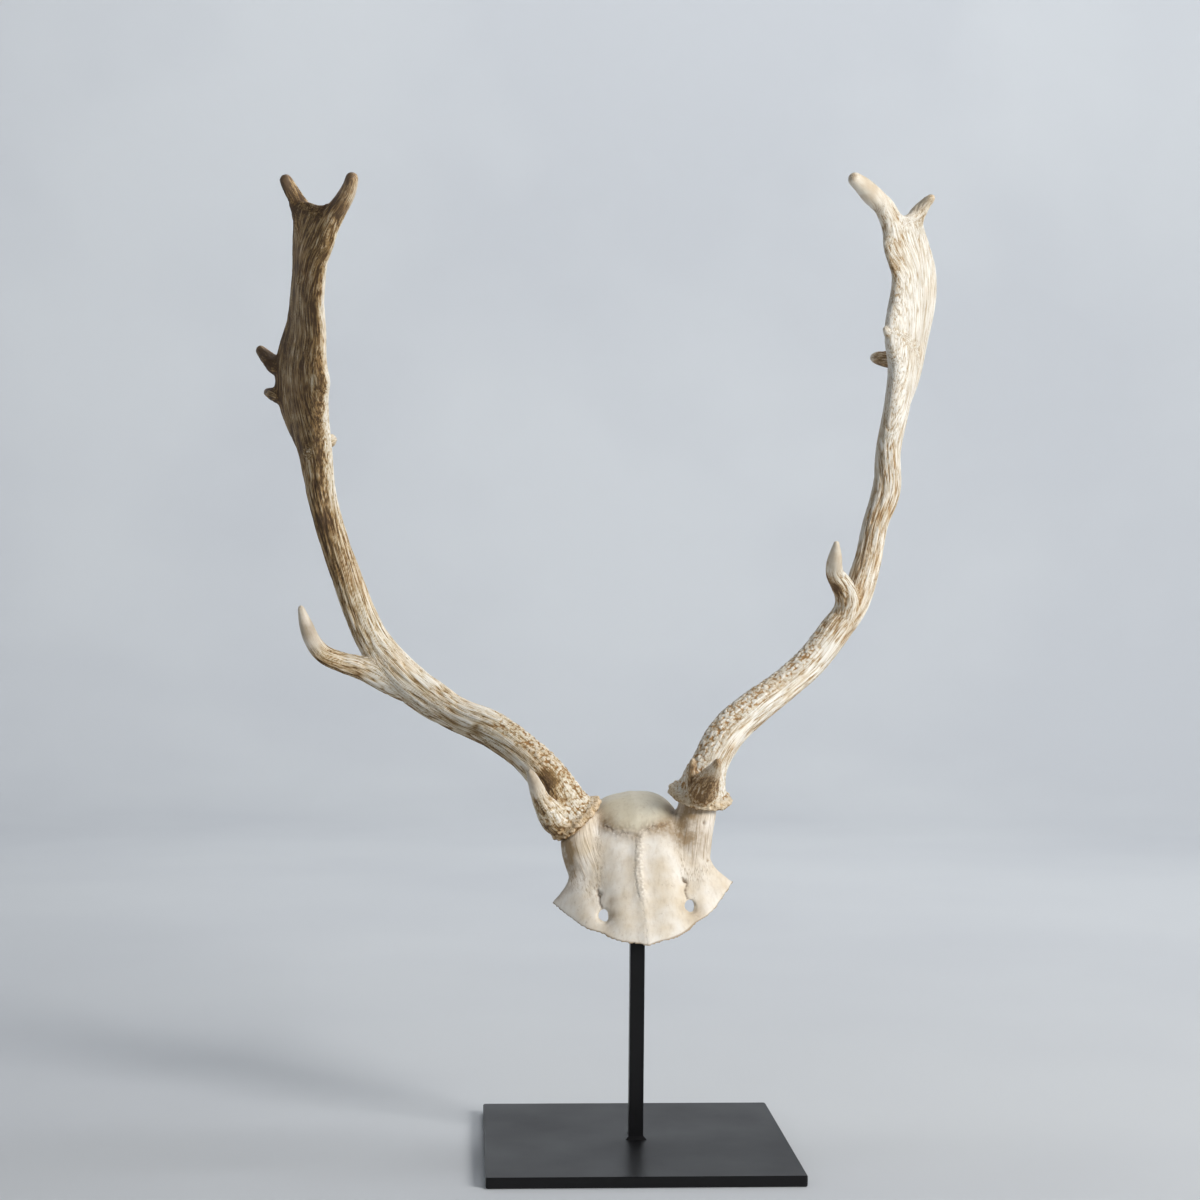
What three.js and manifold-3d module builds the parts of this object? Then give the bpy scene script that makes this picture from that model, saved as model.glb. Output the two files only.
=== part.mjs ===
// Fallow deer skull cap with both antlers, held by a square rod on a square steel base plate.
// Millimetres and +Z up. +X is to the right and +Y is away from a viewer who faces the forehead.
// Left and right are that viewer's. The origin is the centre of the base plate's underside.

import * as THREE from 'three';
import { mergeVertices } from 'three/addons/utils/BufferGeometryUtils.js';
import Module from 'manifold-3d';

const { degToRad, lerp } = THREE.MathUtils;

// Clearance between neighbouring pieces, and the size of the blocks that trim them.
const GAP = 0.3;
const TRIM_SPAN = 400;

// Stand.
const PLATE_SIDE = 200;
const PLATE_THICKNESS = 7;
const PLATE_CORNER = 2;
const PLATE_EDGE = 0.6;
const ROD_SIDE = 9.5;
const ROD_STOCK_LENGTH = 200;
const ROD_REACH = 175;
const WELD_LEG = 2;
const SADDLE_WIDTH = 34;
const SADDLE_HEIGHT = 26;
const SADDLE_THICKNESS = 2.5;
const SADDLE_Z = 45;
const SADDLE_BENDS = 12;
const SCREW_RADIUS = 3.6;
const SCREW_CROWN_RADIUS = 2.2;
const SCREW_HEAD = 2.2;
const SCREW_SPREAD = 11.5;
const SCREW_SIDES = 12;

// Skull cap. Its own frame has z up the forehead's midline from the sawn edge, and y inwards.
const CAP_PLACE = new THREE.Vector3(8, -28, 135.5);
const CAP_LEAN = degToRad(26);
const CAP_ROLL = degToRad(6.5);
const SAW_ANGLE = degToRad(26.5);
const BONE_WALL = 4.5;
const FOREHEAD_LENGTH = 82;
const FOREHEAD_CROSS_CURVE = 0.0055;
const MIDLINE_RIDGE = { height: 1.8, width: 3.4 };
const SAW_OVERRUN = 4;
const FRONTAL_DIVISIONS = 10;
const FLARE = { halfWidth: 63, z: 46, curve: 2, bendFrom: 47, bend: 0.003 };
const WAIST = { halfWidth: 47.5, z: 64 };
const CREST_HALF_WIDTH = 42;
const FORAMEN = { x: 28.5, z: 28, radius: 3.3, length: 27, sides: 12 };
const BRAINCASE = { y: 42.5, z: 88.5, halfWidth: 33.5, halfLength: 44, halfHeight: 35.2, squareness: 2.7 };
const BRAINCASE_SIDES = 22;
const BRAINCASE_RINGS = 13;

// Pedicles, as stations [distance from the midline, y, z, radius] in the cap's frame.
const PEDICLE_FOOT = [31.5, 22, 56, 14.3];
const PEDICLE_NECK = [37, 16, 78, 13.9];
const PEDICLE_TOP_RADIUS = 13;
const PEDICLE_OVERRUN = 12;
const PEDICLE_FACETS = { steps: 12, sides: 16 };

// Antlers.
const BURR_THICKNESS = 8;
const BURR_KNOBS = 13;
const BURR_KNOB_HEIGHT = 0.7;
// Half section of the burr, as fractions of its radius and of half its thickness.
const BURR_SECTION = [[0, -1], [0.84, -1], [1, -0.5], [1, 0.4], [0.88, 1], [0, 1]];
const BLADE_TAPER = 0.1;
const BEAM_TURN = 90;
const LOWER_BEAM_FACETS = { steps: 20, sides: 12 };
const UPPER_BEAM_FACETS = { steps: 10, sides: 12 };
const PALM_FACETS = { steps: 17, sides: 14 };
const TINE_SIDES = 9;
const LEAST_TINE_STEPS = 6;

const BONE = { color: 0xe6dcc8, roughness: 0.7, metalness: 0 };
const LEFT_ANTLER = { color: 0xcdbd9f, roughness: 0.75, metalness: 0 };
const RIGHT_ANTLER = { color: 0xe3d6bc, roughness: 0.75, metalness: 0 };
const BLACK_STEEL = { color: 0x2a292b, roughness: 0.5, metalness: 0.4 };

const wasm = await Module();
wasm.setup();

// ---------------------------------------------------------------- solids

function toSolid(geometry) {
  geometry.deleteAttribute('normal');
  geometry.deleteAttribute('uv');
  const merged = mergeVertices(geometry);
  const mesh = new wasm.Mesh({
    numProp: 3,
    vertProperties: merged.attributes.position.array,
    triVerts: new Uint32Array(merged.index.array),
  });
  return new wasm.Manifold(mesh);
}

function toGeometry(solid) {
  const { vertProperties, triVerts } = solid.getMesh();
  const geometry = new THREE.BufferGeometry();
  geometry.setAttribute('position', new THREE.BufferAttribute(vertProperties, 3));
  geometry.setIndex(new THREE.BufferAttribute(triVerts, 1));
  geometry.computeVertexNormals();
  return geometry;
}

function bend(geometry, place) {
  const { position } = geometry.attributes;
  const vertex = new THREE.Vector3();
  for (let index = 0; index < position.count; index += 1) {
    vertex.fromBufferAttribute(position, index);
    place(vertex);
    position.setXYZ(index, vertex.x, vertex.y, vertex.z);
  }
  return geometry;
}

function aimed(geometry, point, direction) {
  const turn = new THREE.Quaternion().setFromUnitVectors(new THREE.Vector3(0, 0, 1), direction);
  return geometry.applyQuaternion(turn).translate(point.x, point.y, point.z);
}

// Everything on the far side of a plane, which faces along its direction.
function beyond(point, direction) {
  const block = new THREE.BoxGeometry(TRIM_SPAN, TRIM_SPAN, TRIM_SPAN).translate(0, 0, TRIM_SPAN / 2);
  return toSolid(aimed(block, point, direction));
}

function piece(name, solid, look) {
  const mesh = new THREE.Mesh(toGeometry(solid), new THREE.MeshStandardMaterial(look));
  mesh.name = name;
  return mesh;
}

// ---------------------------------------------------------------- limbs
// A limb is a curve through stations [x, y, z, half width, half thickness, turn]. A round station
// leaves the thickness out. The turn is the plan direction of the width, in degrees from +X.

function centreLine(stations) {
  return new THREE.CatmullRomCurve3(stations.map(([x, y, z]) => new THREE.Vector3(x, y, z)));
}

function limbSolid(stations, { from = 0, to = 1, steps, sides, grow = 0 }) {
  const path = centreLine(stations);
  const girths = stations.map(([, , , wide, thick = wide, turn = BEAM_TURN]) => (
    new THREE.Vector3(wide, thick, turn)
  ));
  const girth = new THREE.CatmullRomCurve3(girths, false, 'catmullrom', 0.5);
  const across = new THREE.Vector3();
  const through = new THREE.Vector3();
  const tube = new THREE.CylinderGeometry(1, 1, 1, sides, steps);
  return toSolid(bend(tube, (vertex) => {
    const along = lerp(from, to, vertex.y + 0.5);
    const { x: wide, y: thick, z: turn } = girth.getPoint(along);
    const tangent = path.getTangent(along);
    across.set(Math.cos(degToRad(turn)), Math.sin(degToRad(turn)), 0);
    across.addScaledVector(tangent, -across.dot(tangent)).normalize();
    through.crossVectors(across, tangent);
    const blade = 1 - BLADE_TAPER * (wide / thick - 1) * vertex.x;
    const outward = across.clone().multiplyScalar(vertex.x * (wide + grow));
    outward.addScaledVector(through, vertex.z * (thick * blade + grow));
    vertex.copy(path.getPoint(along)).add(outward);
  }));
}

// The fraction of a curve at which one of its stations lies.
function at(stations, index) {
  return index / (stations.length - 1);
}

function burrDisc({ centre, axis, radius }, grow = 0) {
  const half = BURR_THICKNESS / 2 + grow;
  const rim = radius + grow;
  const section = BURR_SECTION.map(([out, along]) => new THREE.Vector2(out * rim, along * half));
  const disc = new THREE.LatheGeometry(section, BURR_KNOBS * 2);
  bend(disc, (vertex) => {
    const round = Math.atan2(vertex.x, vertex.z);
    const reach = Math.hypot(vertex.x, vertex.z);
    const knob = 1 + (BURR_KNOB_HEIGHT / radius) * Math.cos(BURR_KNOBS * round) * (reach / rim);
    vertex.set(vertex.x * knob, vertex.y, vertex.z * knob);
  });
  return toSolid(aimed(disc.rotateX(Math.PI / 2), centre, axis));
}

// ---------------------------------------------------------------- antlers

const LEFT = {
  side: 'left',
  look: LEFT_ANTLER,
  burr: {
    centre: new THREE.Vector3(-39.6, 26, 215.8),
    axis: new THREE.Vector3(-0.66, -0.12, 0.74).normalize(),
    radius: 22.6,
  },
  main: [
    [-33, 26, 205, 16.5],
    [-48.2, 27, 224, 17.2, 17],
    [-60.5, 33, 244.6, 13.8],
    [-77.3, 46, 260.6, 12.2],
    [-96.7, 62, 273.2, 12.7],
    [-120.2, 77, 282.3, 12.2],
    [-141.2, 88, 294.4, 13.4, 13.4],
    [-161.6, 97, 310.3, 14.5, 13.4],
    [-181.5, 104, 335, 12.2, 12],
    [-201.5, 110, 383, 11, 10.6, 110],
    [-216.8, 112, 430.5, 11.8, 10.2, 122],
    [-223.6, 113, 468, 19.5, 10.2, 122],
    [-232.2, 117, 505, 33.5, 9.5, 124],
    [-232.9, 114, 525, 35, 9.5, 123],
    [-229.5, 103, 550, 29.2, 8.5, 117],
    [-228, 88, 576.5, 26.5, 8, 112],
    [-225, 69, 601.5, 23, 7.5, 119],
    [-219, 50, 620.5, 18.5, 6.5, 138],
    [-217, 44, 626.4, 10.5, 4.8, 138],
  ],
  fork: 7.6,
  palm: 11,
  tines: {
    brow_tine: [
      [-49.5, 24, 213.5, 11],
      [-54.6, 14, 215.8, 9.6],
      [-59.4, 4, 222.8, 8.5],
      [-64.5, -6, 231.3, 6.4],
      [-68.1, -15, 239.7, 5],
      [-71.2, -24, 247.3, 3.5],
      [-73.3, -30.5, 252.4, 1.5],
    ],
    trez_tine: [
      [-152.3, 91, 296.2, 8.2],
      [-167.8, 95, 303.5, 8.8],
      [-180.4, 95, 310, 8.4],
      [-191, 93, 314.7, 8],
      [-202.4, 90.5, 318, 7.3],
      [-213, 86, 323, 6.5],
      [-220.2, 80.5, 331.2, 5.8],
      [-225.3, 75.5, 343.8, 4.7],
      [-229.2, 72, 357.4, 1.9],
    ],
    front_point: [
      [-216, 57, 604.4, 7.6],
      [-211.5, 48, 613.3, 8],
      [-206.4, 41, 621.3, 7.4],
      [-201.1, 34, 627.6, 6.4],
      [-197.6, 28.5, 632.4, 5.8],
      [-195, 23, 637.2, 5],
      [-193.6, 18.5, 641.3, 4.4],
      [-192.9, 15, 644.7, 3.6],
    ],
    rear_point: [
      [-227.8, 68, 617.6, 8.4],
      [-230, 64, 627.2, 7.6],
      [-233.3, 60, 634.2, 6],
      [-236.3, 57, 639.4, 5.2],
      [-239.2, 54, 644.6, 4.5],
      [-241.7, 51.2, 649.4, 3.5],
    ],
    upper_spur: [
      [-245, 132, 523, 4.5],
      [-253, 143, 529, 7],
      [-260.5, 150, 536, 5.2],
      [-267.5, 155, 543.5, 3],
    ],
    lower_spur: [
      [-244, 133, 505, 4.5],
      [-252, 143, 508, 6.2],
      [-257, 153, 510, 4.6],
      [-261.5, 162, 511.5, 2.8],
    ],
    knob: [
      [-220, 115, 470, 4.5],
      [-213, 126, 474.5, 5],
      [-210, 131, 476.5, 2.6],
    ],
  },
};

const RIGHT = {
  side: 'right',
  look: RIGHT_ANTLER,
  burr: {
    centre: new THREE.Vector3(43.6, 26, 231.8),
    axis: new THREE.Vector3(0.16, -0.3, 0.94).normalize(),
    radius: 23.4,
  },
  main: [
    [42, 27, 219, 15.8],
    [45.8, 26, 240, 15.4],
    [50.5, 29, 253, 12.9],
    [63.3, 40, 272.8, 12.7],
    [83.7, 55, 289.3, 11.7],
    [105.5, 70, 303.8, 11],
    [126.8, 83, 320.6, 11.3],
    [143.9, 93, 340.3, 11.4],
    [160.4, 101, 362.2, 11.4, 10.6],
    [170.3, 106, 390, 10.2, 9.8],
    [176.9, 110, 418, 9.6, 9.4],
    [185.1, 112, 443.5, 10.4, 10.6],
    [186.6, 113, 472, 12.7, 9.3, 70],
    [193, 115, 501, 21, 9.2, 68],
    [199.8, 120, 530.5, 33.4, 9, 63],
    [201.6, 118, 552.5, 40, 9, 60],
    [202.7, 109, 578.5, 38.6, 8.5, 57],
    [197.6, 91, 603, 28.6, 7.5, 57],
    [187.6, 69, 623.5, 22.5, 6.5, 51],
    [187, 62, 630.4, 12.5, 4.8, 51],
  ],
  fork: 8.2,
  palm: 12.5,
  tines: {
    brow_tine: [
      [44.1, 24, 230.6, 11],
      [44, 10, 235.9, 10.6],
      [45, -2, 241.6, 9],
      [46.5, -12, 247.4, 7],
      [47.9, -22, 252.8, 4.8],
      [48.7, -28.5, 256.9, 3.1],
      [49, -33, 260.2, 1.5],
    ],
    trez_tine: [
      [146.3, 92, 340.8, 8],
      [152.5, 93.5, 350.7, 8.4],
      [154.2, 92, 361.4, 8.6],
      [151.5, 86, 369.5, 8.3],
      [146.8, 78, 376.1, 7.6],
      [141.9, 70, 382, 6.7],
      [139.5, 62, 387.8, 5.7],
      [139, 55, 394.3, 4.7],
      [138.5, 46, 405, 1.5],
    ],
    front_point: [
      [182.7, 72, 612.1, 8.6],
      [178.9, 64, 622.6, 9.4],
      [174, 57, 631.1, 9],
      [167.9, 50, 637.1, 8],
      [160.4, 43, 641.7, 7.1],
      [153, 36, 646.5, 6.2],
      [147.2, 31, 649.5, 5.1],
      [142.6, 27, 652, 4.1],
    ],
    rear_point: [
      [196.7, 86, 620.1, 8],
      [196.5, 80, 629, 7.6],
      [198.8, 74, 635.8, 5.8],
      [202.4, 70.5, 641.2, 4.3],
      [205.3, 67, 644.3, 3.3],
      [207.7, 64.8, 646.8, 2.3],
    ],
    back_spur: [
      [203, 132, 538, 5],
      [194.3, 146, 540.6, 6.5],
      [186.4, 156, 542.6, 5],
      [182, 161, 543.6, 3],
    ],
    knob: [
      [187, 93, 551, 4.5],
      [180.5, 86, 553.5, 4],
      [176.5, 83, 556.5, 1.6],
    ],
  },
};

function antler({ side, look, burr, main, fork, palm, tines }) {
  const name = (part) => `antler_${side}_${part}`;
  const seam = GAP / 2 / centreLine(main).getLength();
  const stretches = [
    { part: 'lower_beam', from: 0, to: at(main, fork) - seam, ...LOWER_BEAM_FACETS },
    { part: 'upper_beam', from: at(main, fork) + seam, to: at(main, palm) - seam, ...UPPER_BEAM_FACETS },
    { part: 'palm', from: at(main, palm) + seam, to: 1, ...PALM_FACETS },
  ];
  const crown = burr.centre.clone().addScaledVector(burr.axis, BURR_THICKNESS / 2 + GAP);
  const belowCrown = beyond(crown, burr.axis.clone().negate());

  const group = new THREE.Group();
  group.add(piece(name('burr'), burrDisc(burr), look));
  let keepOff = burrDisc(burr, GAP);
  for (const { part, ...stretch } of stretches) {
    group.add(piece(name(part), limbSolid(main, stretch).subtract(belowCrown), look));
    keepOff = keepOff.add(limbSolid(main, { ...stretch, grow: GAP }));
  }
  for (const [part, stations] of Object.entries(tines)) {
    const steps = Math.max(stations.length, LEAST_TINE_STEPS);
    const tine = limbSolid(stations, { steps, sides: TINE_SIDES });
    group.add(piece(name(part), tine.subtract(keepOff).subtract(belowCrown), look));
  }
  return group;
}

// ---------------------------------------------------------------- skull cap

const capPose = new THREE.Matrix4().compose(
  CAP_PLACE,
  new THREE.Quaternion().setFromEuler(new THREE.Euler(-CAP_LEAN, -CAP_ROLL, 0, 'YXZ')),
  new THREE.Vector3(1, 1, 1),
);
const intoCap = capPose.clone().invert();

function foreheadDepth(x) {
  const intoFlare = Math.max(Math.abs(x) - FLARE.bendFrom, 0);
  return FOREHEAD_CROSS_CURVE * x * x + FLARE.bend * intoFlare * intoFlare;
}

function foreheadHalfWidth(z) {
  if (z < FLARE.z) {
    return FLARE.halfWidth;
  }
  if (z < WAIST.z) {
    const rise = (WAIST.z - z) / (WAIST.z - FLARE.z);
    return WAIST.halfWidth + (FLARE.halfWidth - WAIST.halfWidth) * rise ** FLARE.curve;
  }
  return lerp(WAIST.halfWidth, CREST_HALF_WIDTH, (z - WAIST.z) / (FOREHEAD_LENGTH - WAIST.z));
}

function frontalPlate(side, grow = 0) {
  const plate = new THREE.BoxGeometry(1, 1, 1, FRONTAL_DIVISIONS, 1, FRONTAL_DIVISIONS);
  return toSolid(bend(plate, (vertex) => {
    const outside = vertex.y < 0;
    const z = lerp(-SAW_OVERRUN, FOREHEAD_LENGTH + grow, vertex.z + 0.5);
    const reach = side > 0 ? vertex.x + 0.5 : 0.5 - vertex.x;
    const x = side * lerp(GAP / 2 - grow, foreheadHalfWidth(z) + grow, reach);
    const ridge = MIDLINE_RIDGE.height * Math.exp(-((x / MIDLINE_RIDGE.width) ** 2));
    const inset = outside ? -ridge - grow : BONE_WALL + grow;
    vertex.set(x, foreheadDepth(x) + inset, z);
  }));
}

// The braincase is a level, squared-off egg.
function braincaseEgg(inset) {
  const { y, z, halfWidth, halfLength, halfHeight, squareness } = BRAINCASE;
  const egg = bend(new THREE.SphereGeometry(1, BRAINCASE_SIDES, BRAINCASE_RINGS), (vertex) => {
    const powers = vertex.toArray().map((part) => Math.abs(part) ** squareness);
    const norm = (powers[0] + powers[1] + powers[2]) ** (1 / squareness);
    vertex.divideScalar(norm);
  });
  egg.scale(halfWidth - inset, halfLength - inset, halfHeight - inset);
  return toSolid(egg.rotateX(CAP_LEAN).translate(0, y, z));
}

function pedicle(side, burr, grow = 0) {
  const top = burr.centre.clone().applyMatrix4(intoCap);
  const axis = burr.axis.clone().transformDirection(intoCap);
  const end = top.clone().addScaledVector(axis, PEDICLE_OVERRUN);
  const floor = top.clone().addScaledVector(axis, -BURR_THICKNESS / 2 - GAP);
  const onSide = ([x, ...rest]) => [side * x, ...rest];
  const stations = [
    onSide(PEDICLE_FOOT),
    onSide(PEDICLE_NECK),
    [...top.toArray(), PEDICLE_TOP_RADIUS],
    [...end.toArray(), PEDICLE_TOP_RADIUS],
  ];
  return limbSolid(stations, { ...PEDICLE_FACETS, grow }).subtract(beyond(floor, axis));
}

// The hole above each eye socket runs level through the forehead.
function foramen(side) {
  const { x, z, radius, length, sides } = FORAMEN;
  const drill = new THREE.CylinderGeometry(radius, radius, length, sides);
  drill.rotateX(CAP_LEAN).translate(side * x, foreheadDepth(x), z);
  return toSolid(drill);
}

function skullCap() {
  const sawnEdge = new THREE.Vector3(0, -MIDLINE_RIDGE.height, 0);
  const sawOff = beyond(sawnEdge, new THREE.Vector3(0, Math.cos(SAW_ANGLE), -Math.sin(SAW_ANGLE)));
  const cavity = braincaseEgg(BONE_WALL);
  const inner = cavity.add(sawOff);
  const group = new THREE.Group();
  let parietal = braincaseEgg(0).subtract(inner);
  for (const [side, { side: sideName, burr }] of [[-1, LEFT], [1, RIGHT]]) {
    const stump = pedicle(side, burr).subtract(inner);
    const aroundStump = pedicle(side, burr, GAP);
    const frontal = frontalPlate(side).subtract(aroundStump).subtract(inner).subtract(foramen(side));
    parietal = parietal.subtract(aroundStump).subtract(frontalPlate(side, GAP));
    group.add(piece(`skull_pedicle_${sideName}`, stump, BONE));
    group.add(piece(`skull_frontal_${sideName}`, frontal, BONE));
  }
  group.add(piece('skull_parietal', parietal, BONE));
  group.applyMatrix4(capPose);
  return group;
}

// ---------------------------------------------------------------- stand

function basePlate() {
  const half = PLATE_SIDE / 2;
  const straight = half - PLATE_CORNER;
  const outline = new THREE.Shape();
  outline.absarc(straight, straight, PLATE_CORNER, 0, Math.PI / 2);
  outline.absarc(-straight, straight, PLATE_CORNER, Math.PI / 2, Math.PI);
  outline.absarc(-straight, -straight, PLATE_CORNER, Math.PI, 1.5 * Math.PI);
  outline.absarc(straight, -straight, PLATE_CORNER, 1.5 * Math.PI, 2 * Math.PI);
  const plate = new THREE.ExtrudeGeometry(outline, {
    depth: PLATE_THICKNESS - 2 * PLATE_EDGE,
    bevelThickness: PLATE_EDGE,
    bevelSize: PLATE_EDGE,
    bevelOffset: -PLATE_EDGE,
    bevelSegments: 1,
    curveSegments: 3,
  });
  return toSolid(plate.translate(0, 0, PLATE_EDGE));
}

// A square collar with a sloping outside, round the foot of the rod.
function weldCollar() {
  const inner = ROD_SIDE / 2 + GAP;
  const outer = inner + WELD_LEG;
  const collar = new THREE.CylinderGeometry(inner * Math.SQRT2, outer * Math.SQRT2, WELD_LEG, 4);
  collar.rotateY(Math.PI / 4).rotateX(Math.PI / 2).translate(0, 0, PLATE_THICKNESS + WELD_LEG / 2);
  const rodHole = new THREE.BoxGeometry(2 * inner, 2 * inner, ROD_STOCK_LENGTH);
  return toSolid(collar).subtract(toSolid(rodHole));
}

// The bent plate behind the forehead, which the rod is welded to and two screws hold.
function cradle(rodX) {
  const bent = new THREE.BoxGeometry(SADDLE_WIDTH, SADDLE_THICKNESS, SADDLE_HEIGHT, SADDLE_BENDS, 1, 1);
  const saddle = bend(bent, (vertex) => {
    vertex.x += rodX;
    vertex.y += foreheadDepth(vertex.x) + BONE_WALL + GAP + SADDLE_THICKNESS / 2;
    vertex.z += SADDLE_Z;
  });
  const group = new THREE.Group();
  group.add(piece('stand_saddle', toSolid(saddle), BLACK_STEEL));
  for (const [side, sideName] of [[-1, 'left'], [1, 'right']]) {
    const x = rodX + side * SCREW_SPREAD;
    const saddleBack = foreheadDepth(Math.abs(x) + SCREW_RADIUS) + BONE_WALL + GAP + SADDLE_THICKNESS;
    const head = new THREE.CylinderGeometry(SCREW_CROWN_RADIUS, SCREW_RADIUS, SCREW_HEAD, SCREW_SIDES);
    head.translate(x, saddleBack + GAP + SCREW_HEAD / 2, SADDLE_Z);
    group.add(piece(`stand_screw_${sideName}`, toSolid(head), BLACK_STEEL));
  }
  group.applyMatrix4(capPose);
  return group;
}

function stand() {
  const rodX = new THREE.Vector3(0, 0, ROD_REACH).applyMatrix4(intoCap).x;
  const onSaddle = new THREE.Vector3(rodX, BONE_WALL + SADDLE_THICKNESS + 4 * GAP, SADDLE_Z);
  const towardsBone = new THREE.Vector3(0, -1, 0).transformDirection(capPose);
  const rod = new THREE.BoxGeometry(ROD_SIDE, ROD_SIDE, ROD_STOCK_LENGTH);
  rod.translate(0, 0, PLATE_THICKNESS + ROD_STOCK_LENGTH / 2);
  const cutRod = toSolid(rod).subtract(beyond(onSaddle.applyMatrix4(capPose), towardsBone));

  const group = new THREE.Group();
  group.add(piece('stand_plate', basePlate(), BLACK_STEEL));
  group.add(piece('stand_rod', cutRod, BLACK_STEEL));
  group.add(piece('stand_weld', weldCollar(), BLACK_STEEL));
  group.add(cradle(rodX));
  return group;
}

const deerSkull = new THREE.Group();
deerSkull.add(stand(), skullCap(), antler(LEFT), antler(RIGHT));

export default deerSkull;
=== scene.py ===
"""Looks for a fallow deer skull cap with both antlers on its steel stand.

Each antler and the skull cap is one fused skin over the same curves as the solids, carved vertex by
vertex with grooves, pearls and sutures. Lengths are millimetres here and metres in Blender.
+X is to the right and +Y is away from a viewer who faces the forehead; left and right are that viewer's.
"""
import math

import bmesh
import bpy
import numpy as np
from bpy.props import FloatProperty, FloatVectorProperty, PointerProperty
from bpy.types import Operator, Panel, PropertyGroup
from mathutils import Matrix, Vector, kdtree, noise


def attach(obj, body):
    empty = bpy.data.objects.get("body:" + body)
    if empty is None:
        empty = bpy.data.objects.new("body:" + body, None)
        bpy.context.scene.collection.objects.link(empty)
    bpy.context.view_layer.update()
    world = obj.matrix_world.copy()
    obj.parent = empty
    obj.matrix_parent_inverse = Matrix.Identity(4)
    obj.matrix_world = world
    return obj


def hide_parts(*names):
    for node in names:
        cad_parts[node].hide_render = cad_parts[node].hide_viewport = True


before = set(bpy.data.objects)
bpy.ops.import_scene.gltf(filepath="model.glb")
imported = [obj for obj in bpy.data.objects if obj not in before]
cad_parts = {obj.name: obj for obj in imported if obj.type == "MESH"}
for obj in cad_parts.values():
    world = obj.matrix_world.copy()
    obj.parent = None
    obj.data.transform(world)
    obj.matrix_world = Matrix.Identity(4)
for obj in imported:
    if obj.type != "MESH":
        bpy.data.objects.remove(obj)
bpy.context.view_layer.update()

bl_info = {
    "name": "Fallow Deer Skull Cap",
    "version": (1, 0, 0),
    "blender": (4, 5, 0),
    "location": "3D View > Sidebar > Skull Cap",
    "description": "Builds the antlers, the skull cap, the stand's paint and the studio",
    "category": "Object",
}

MM = 0.001

# Antlers. A station is [x, y, z, half width, half thickness, turn of the width in plan degrees].
# The entry after the seed is painted shade: how much darker and browner the outer face is. "hollow_side"
# is the face of the palm that has a trough, "beads" where the beads on the upper side fade out along the
# beam,
# "palm" the number of the station where the palm starts, and "web" the thin bridge between the palm's two
# points. The right brow tine is broken, with a small second tooth beside it.
BEAM_TURN = 90
BLADE_TAPER = 0.1
BURR_THICKNESS = 8
BURR_SQUARENESS = 3
LEFT_ANTLER = {
    "side": "left",
    "seed": 11.0,
    "outer_shade": 0.95,
    "hollow_side": -1,
    "beads": (60, 130),
    "burr": {"centre": (-39.6, 26, 215.8), "axis": (-0.66, -0.12, 0.74), "radius": 21.8},
    "main": [
        [-33, 26, 205, 16.5], [-48.2, 27, 224, 17.2, 17], [-60.5, 33, 244.6, 13.8],
        [-77.3, 46, 260.6, 12.2], [-96.7, 62, 273.2, 12.7], [-120.2, 77, 282.3, 12.2],
        [-141.2, 88, 294.4, 13.4, 13.4], [-161.6, 97, 310.3, 14.5, 13.4], [-181.5, 104, 335, 12.2, 12],
        [-201.5, 110, 383, 11, 10.6, 110], [-216.8, 112, 430.5, 11.8, 10.2, 122],
        [-223.6, 113, 468, 19.5, 10.2, 122], [-232.2, 117, 505, 33.5, 9.5, 124],
        [-232.9, 114, 525, 35, 9.5, 123], [-229.5, 103, 550, 29.2, 8.5, 117],
        [-228, 88, 576.5, 26.5, 8, 112], [-225, 69, 601.5, 23, 7.5, 119],
        [-219, 50, 620.5, 18.5, 6.5, 138], [-217, 44, 626.4, 10.5, 4.8, 138],
    ],
    "palm": 11,
    "tines": {
        "brow_tine": [
            [-49.5, 24, 213.5, 11], [-54.6, 14, 215.8, 9.6], [-59.4, 4, 222.8, 8.5],
            [-64.5, -6, 231.3, 6.4], [-68.1, -15, 239.7, 5], [-71.2, -24, 247.3, 3.5],
            [-73.3, -30.5, 252.4, 1.5],
        ],
        "trez_tine": [
            [-152.3, 91, 296.2, 8.2], [-167.8, 95, 303.5, 8.8], [-180.4, 95, 310, 8.4],
            [-191, 93, 314.7, 8], [-202.4, 90.5, 318, 7.3], [-213, 86, 323, 6.5],
            [-220.2, 80.5, 331.2, 5.8], [-225.3, 75.5, 343.8, 4.7], [-229.2, 72, 357.4, 1.9],
        ],
        "front_point": [
            [-216, 57, 604.4, 7.6], [-211.5, 48, 613.3, 8], [-206.4, 41, 621.3, 7.4],
            [-201.1, 34, 627.6, 6.4], [-197.6, 28.5, 632.4, 5.8], [-195, 23, 637.2, 5],
            [-193.6, 18.5, 641.3, 4.4], [-192.9, 15, 644.7, 3.6],
        ],
        "rear_point": [
            [-227.8, 68, 617.6, 8.4], [-230, 64, 627.2, 7.6], [-233.3, 60, 634.2, 6],
            [-236.3, 57, 639.4, 5.2], [-239.2, 54, 644.6, 4.5], [-241.7, 51.2, 649.4, 3.5],
        ],
        "upper_spur": [
            [-245, 132, 523, 4.5], [-253, 143, 529, 7], [-260.5, 150, 536, 5.2],
            [-267.5, 155, 543.5, 3],
        ],
        "lower_spur": [
            [-244, 133, 505, 4.5], [-252, 143, 508, 6.2], [-257, 153, 510, 4.6],
            [-261.5, 162, 511.5, 2.8],
        ],
        "knob": [
            [-220, 115, 470, 4.5], [-213, 126, 474.5, 5], [-210, 131, 476.5, 2.6],
        ],
    },
    "web": [
        [-232.8, 60, 631.9, 4.6], [-228.4, 57, 628, 4.6], [-222.7, 53, 625.4, 4.6],
        [-217.1, 49, 624.2, 4.6], [-211.4, 45, 624.6, 4.6], [-207.2, 41, 627, 4.6],
    ],
}
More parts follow.
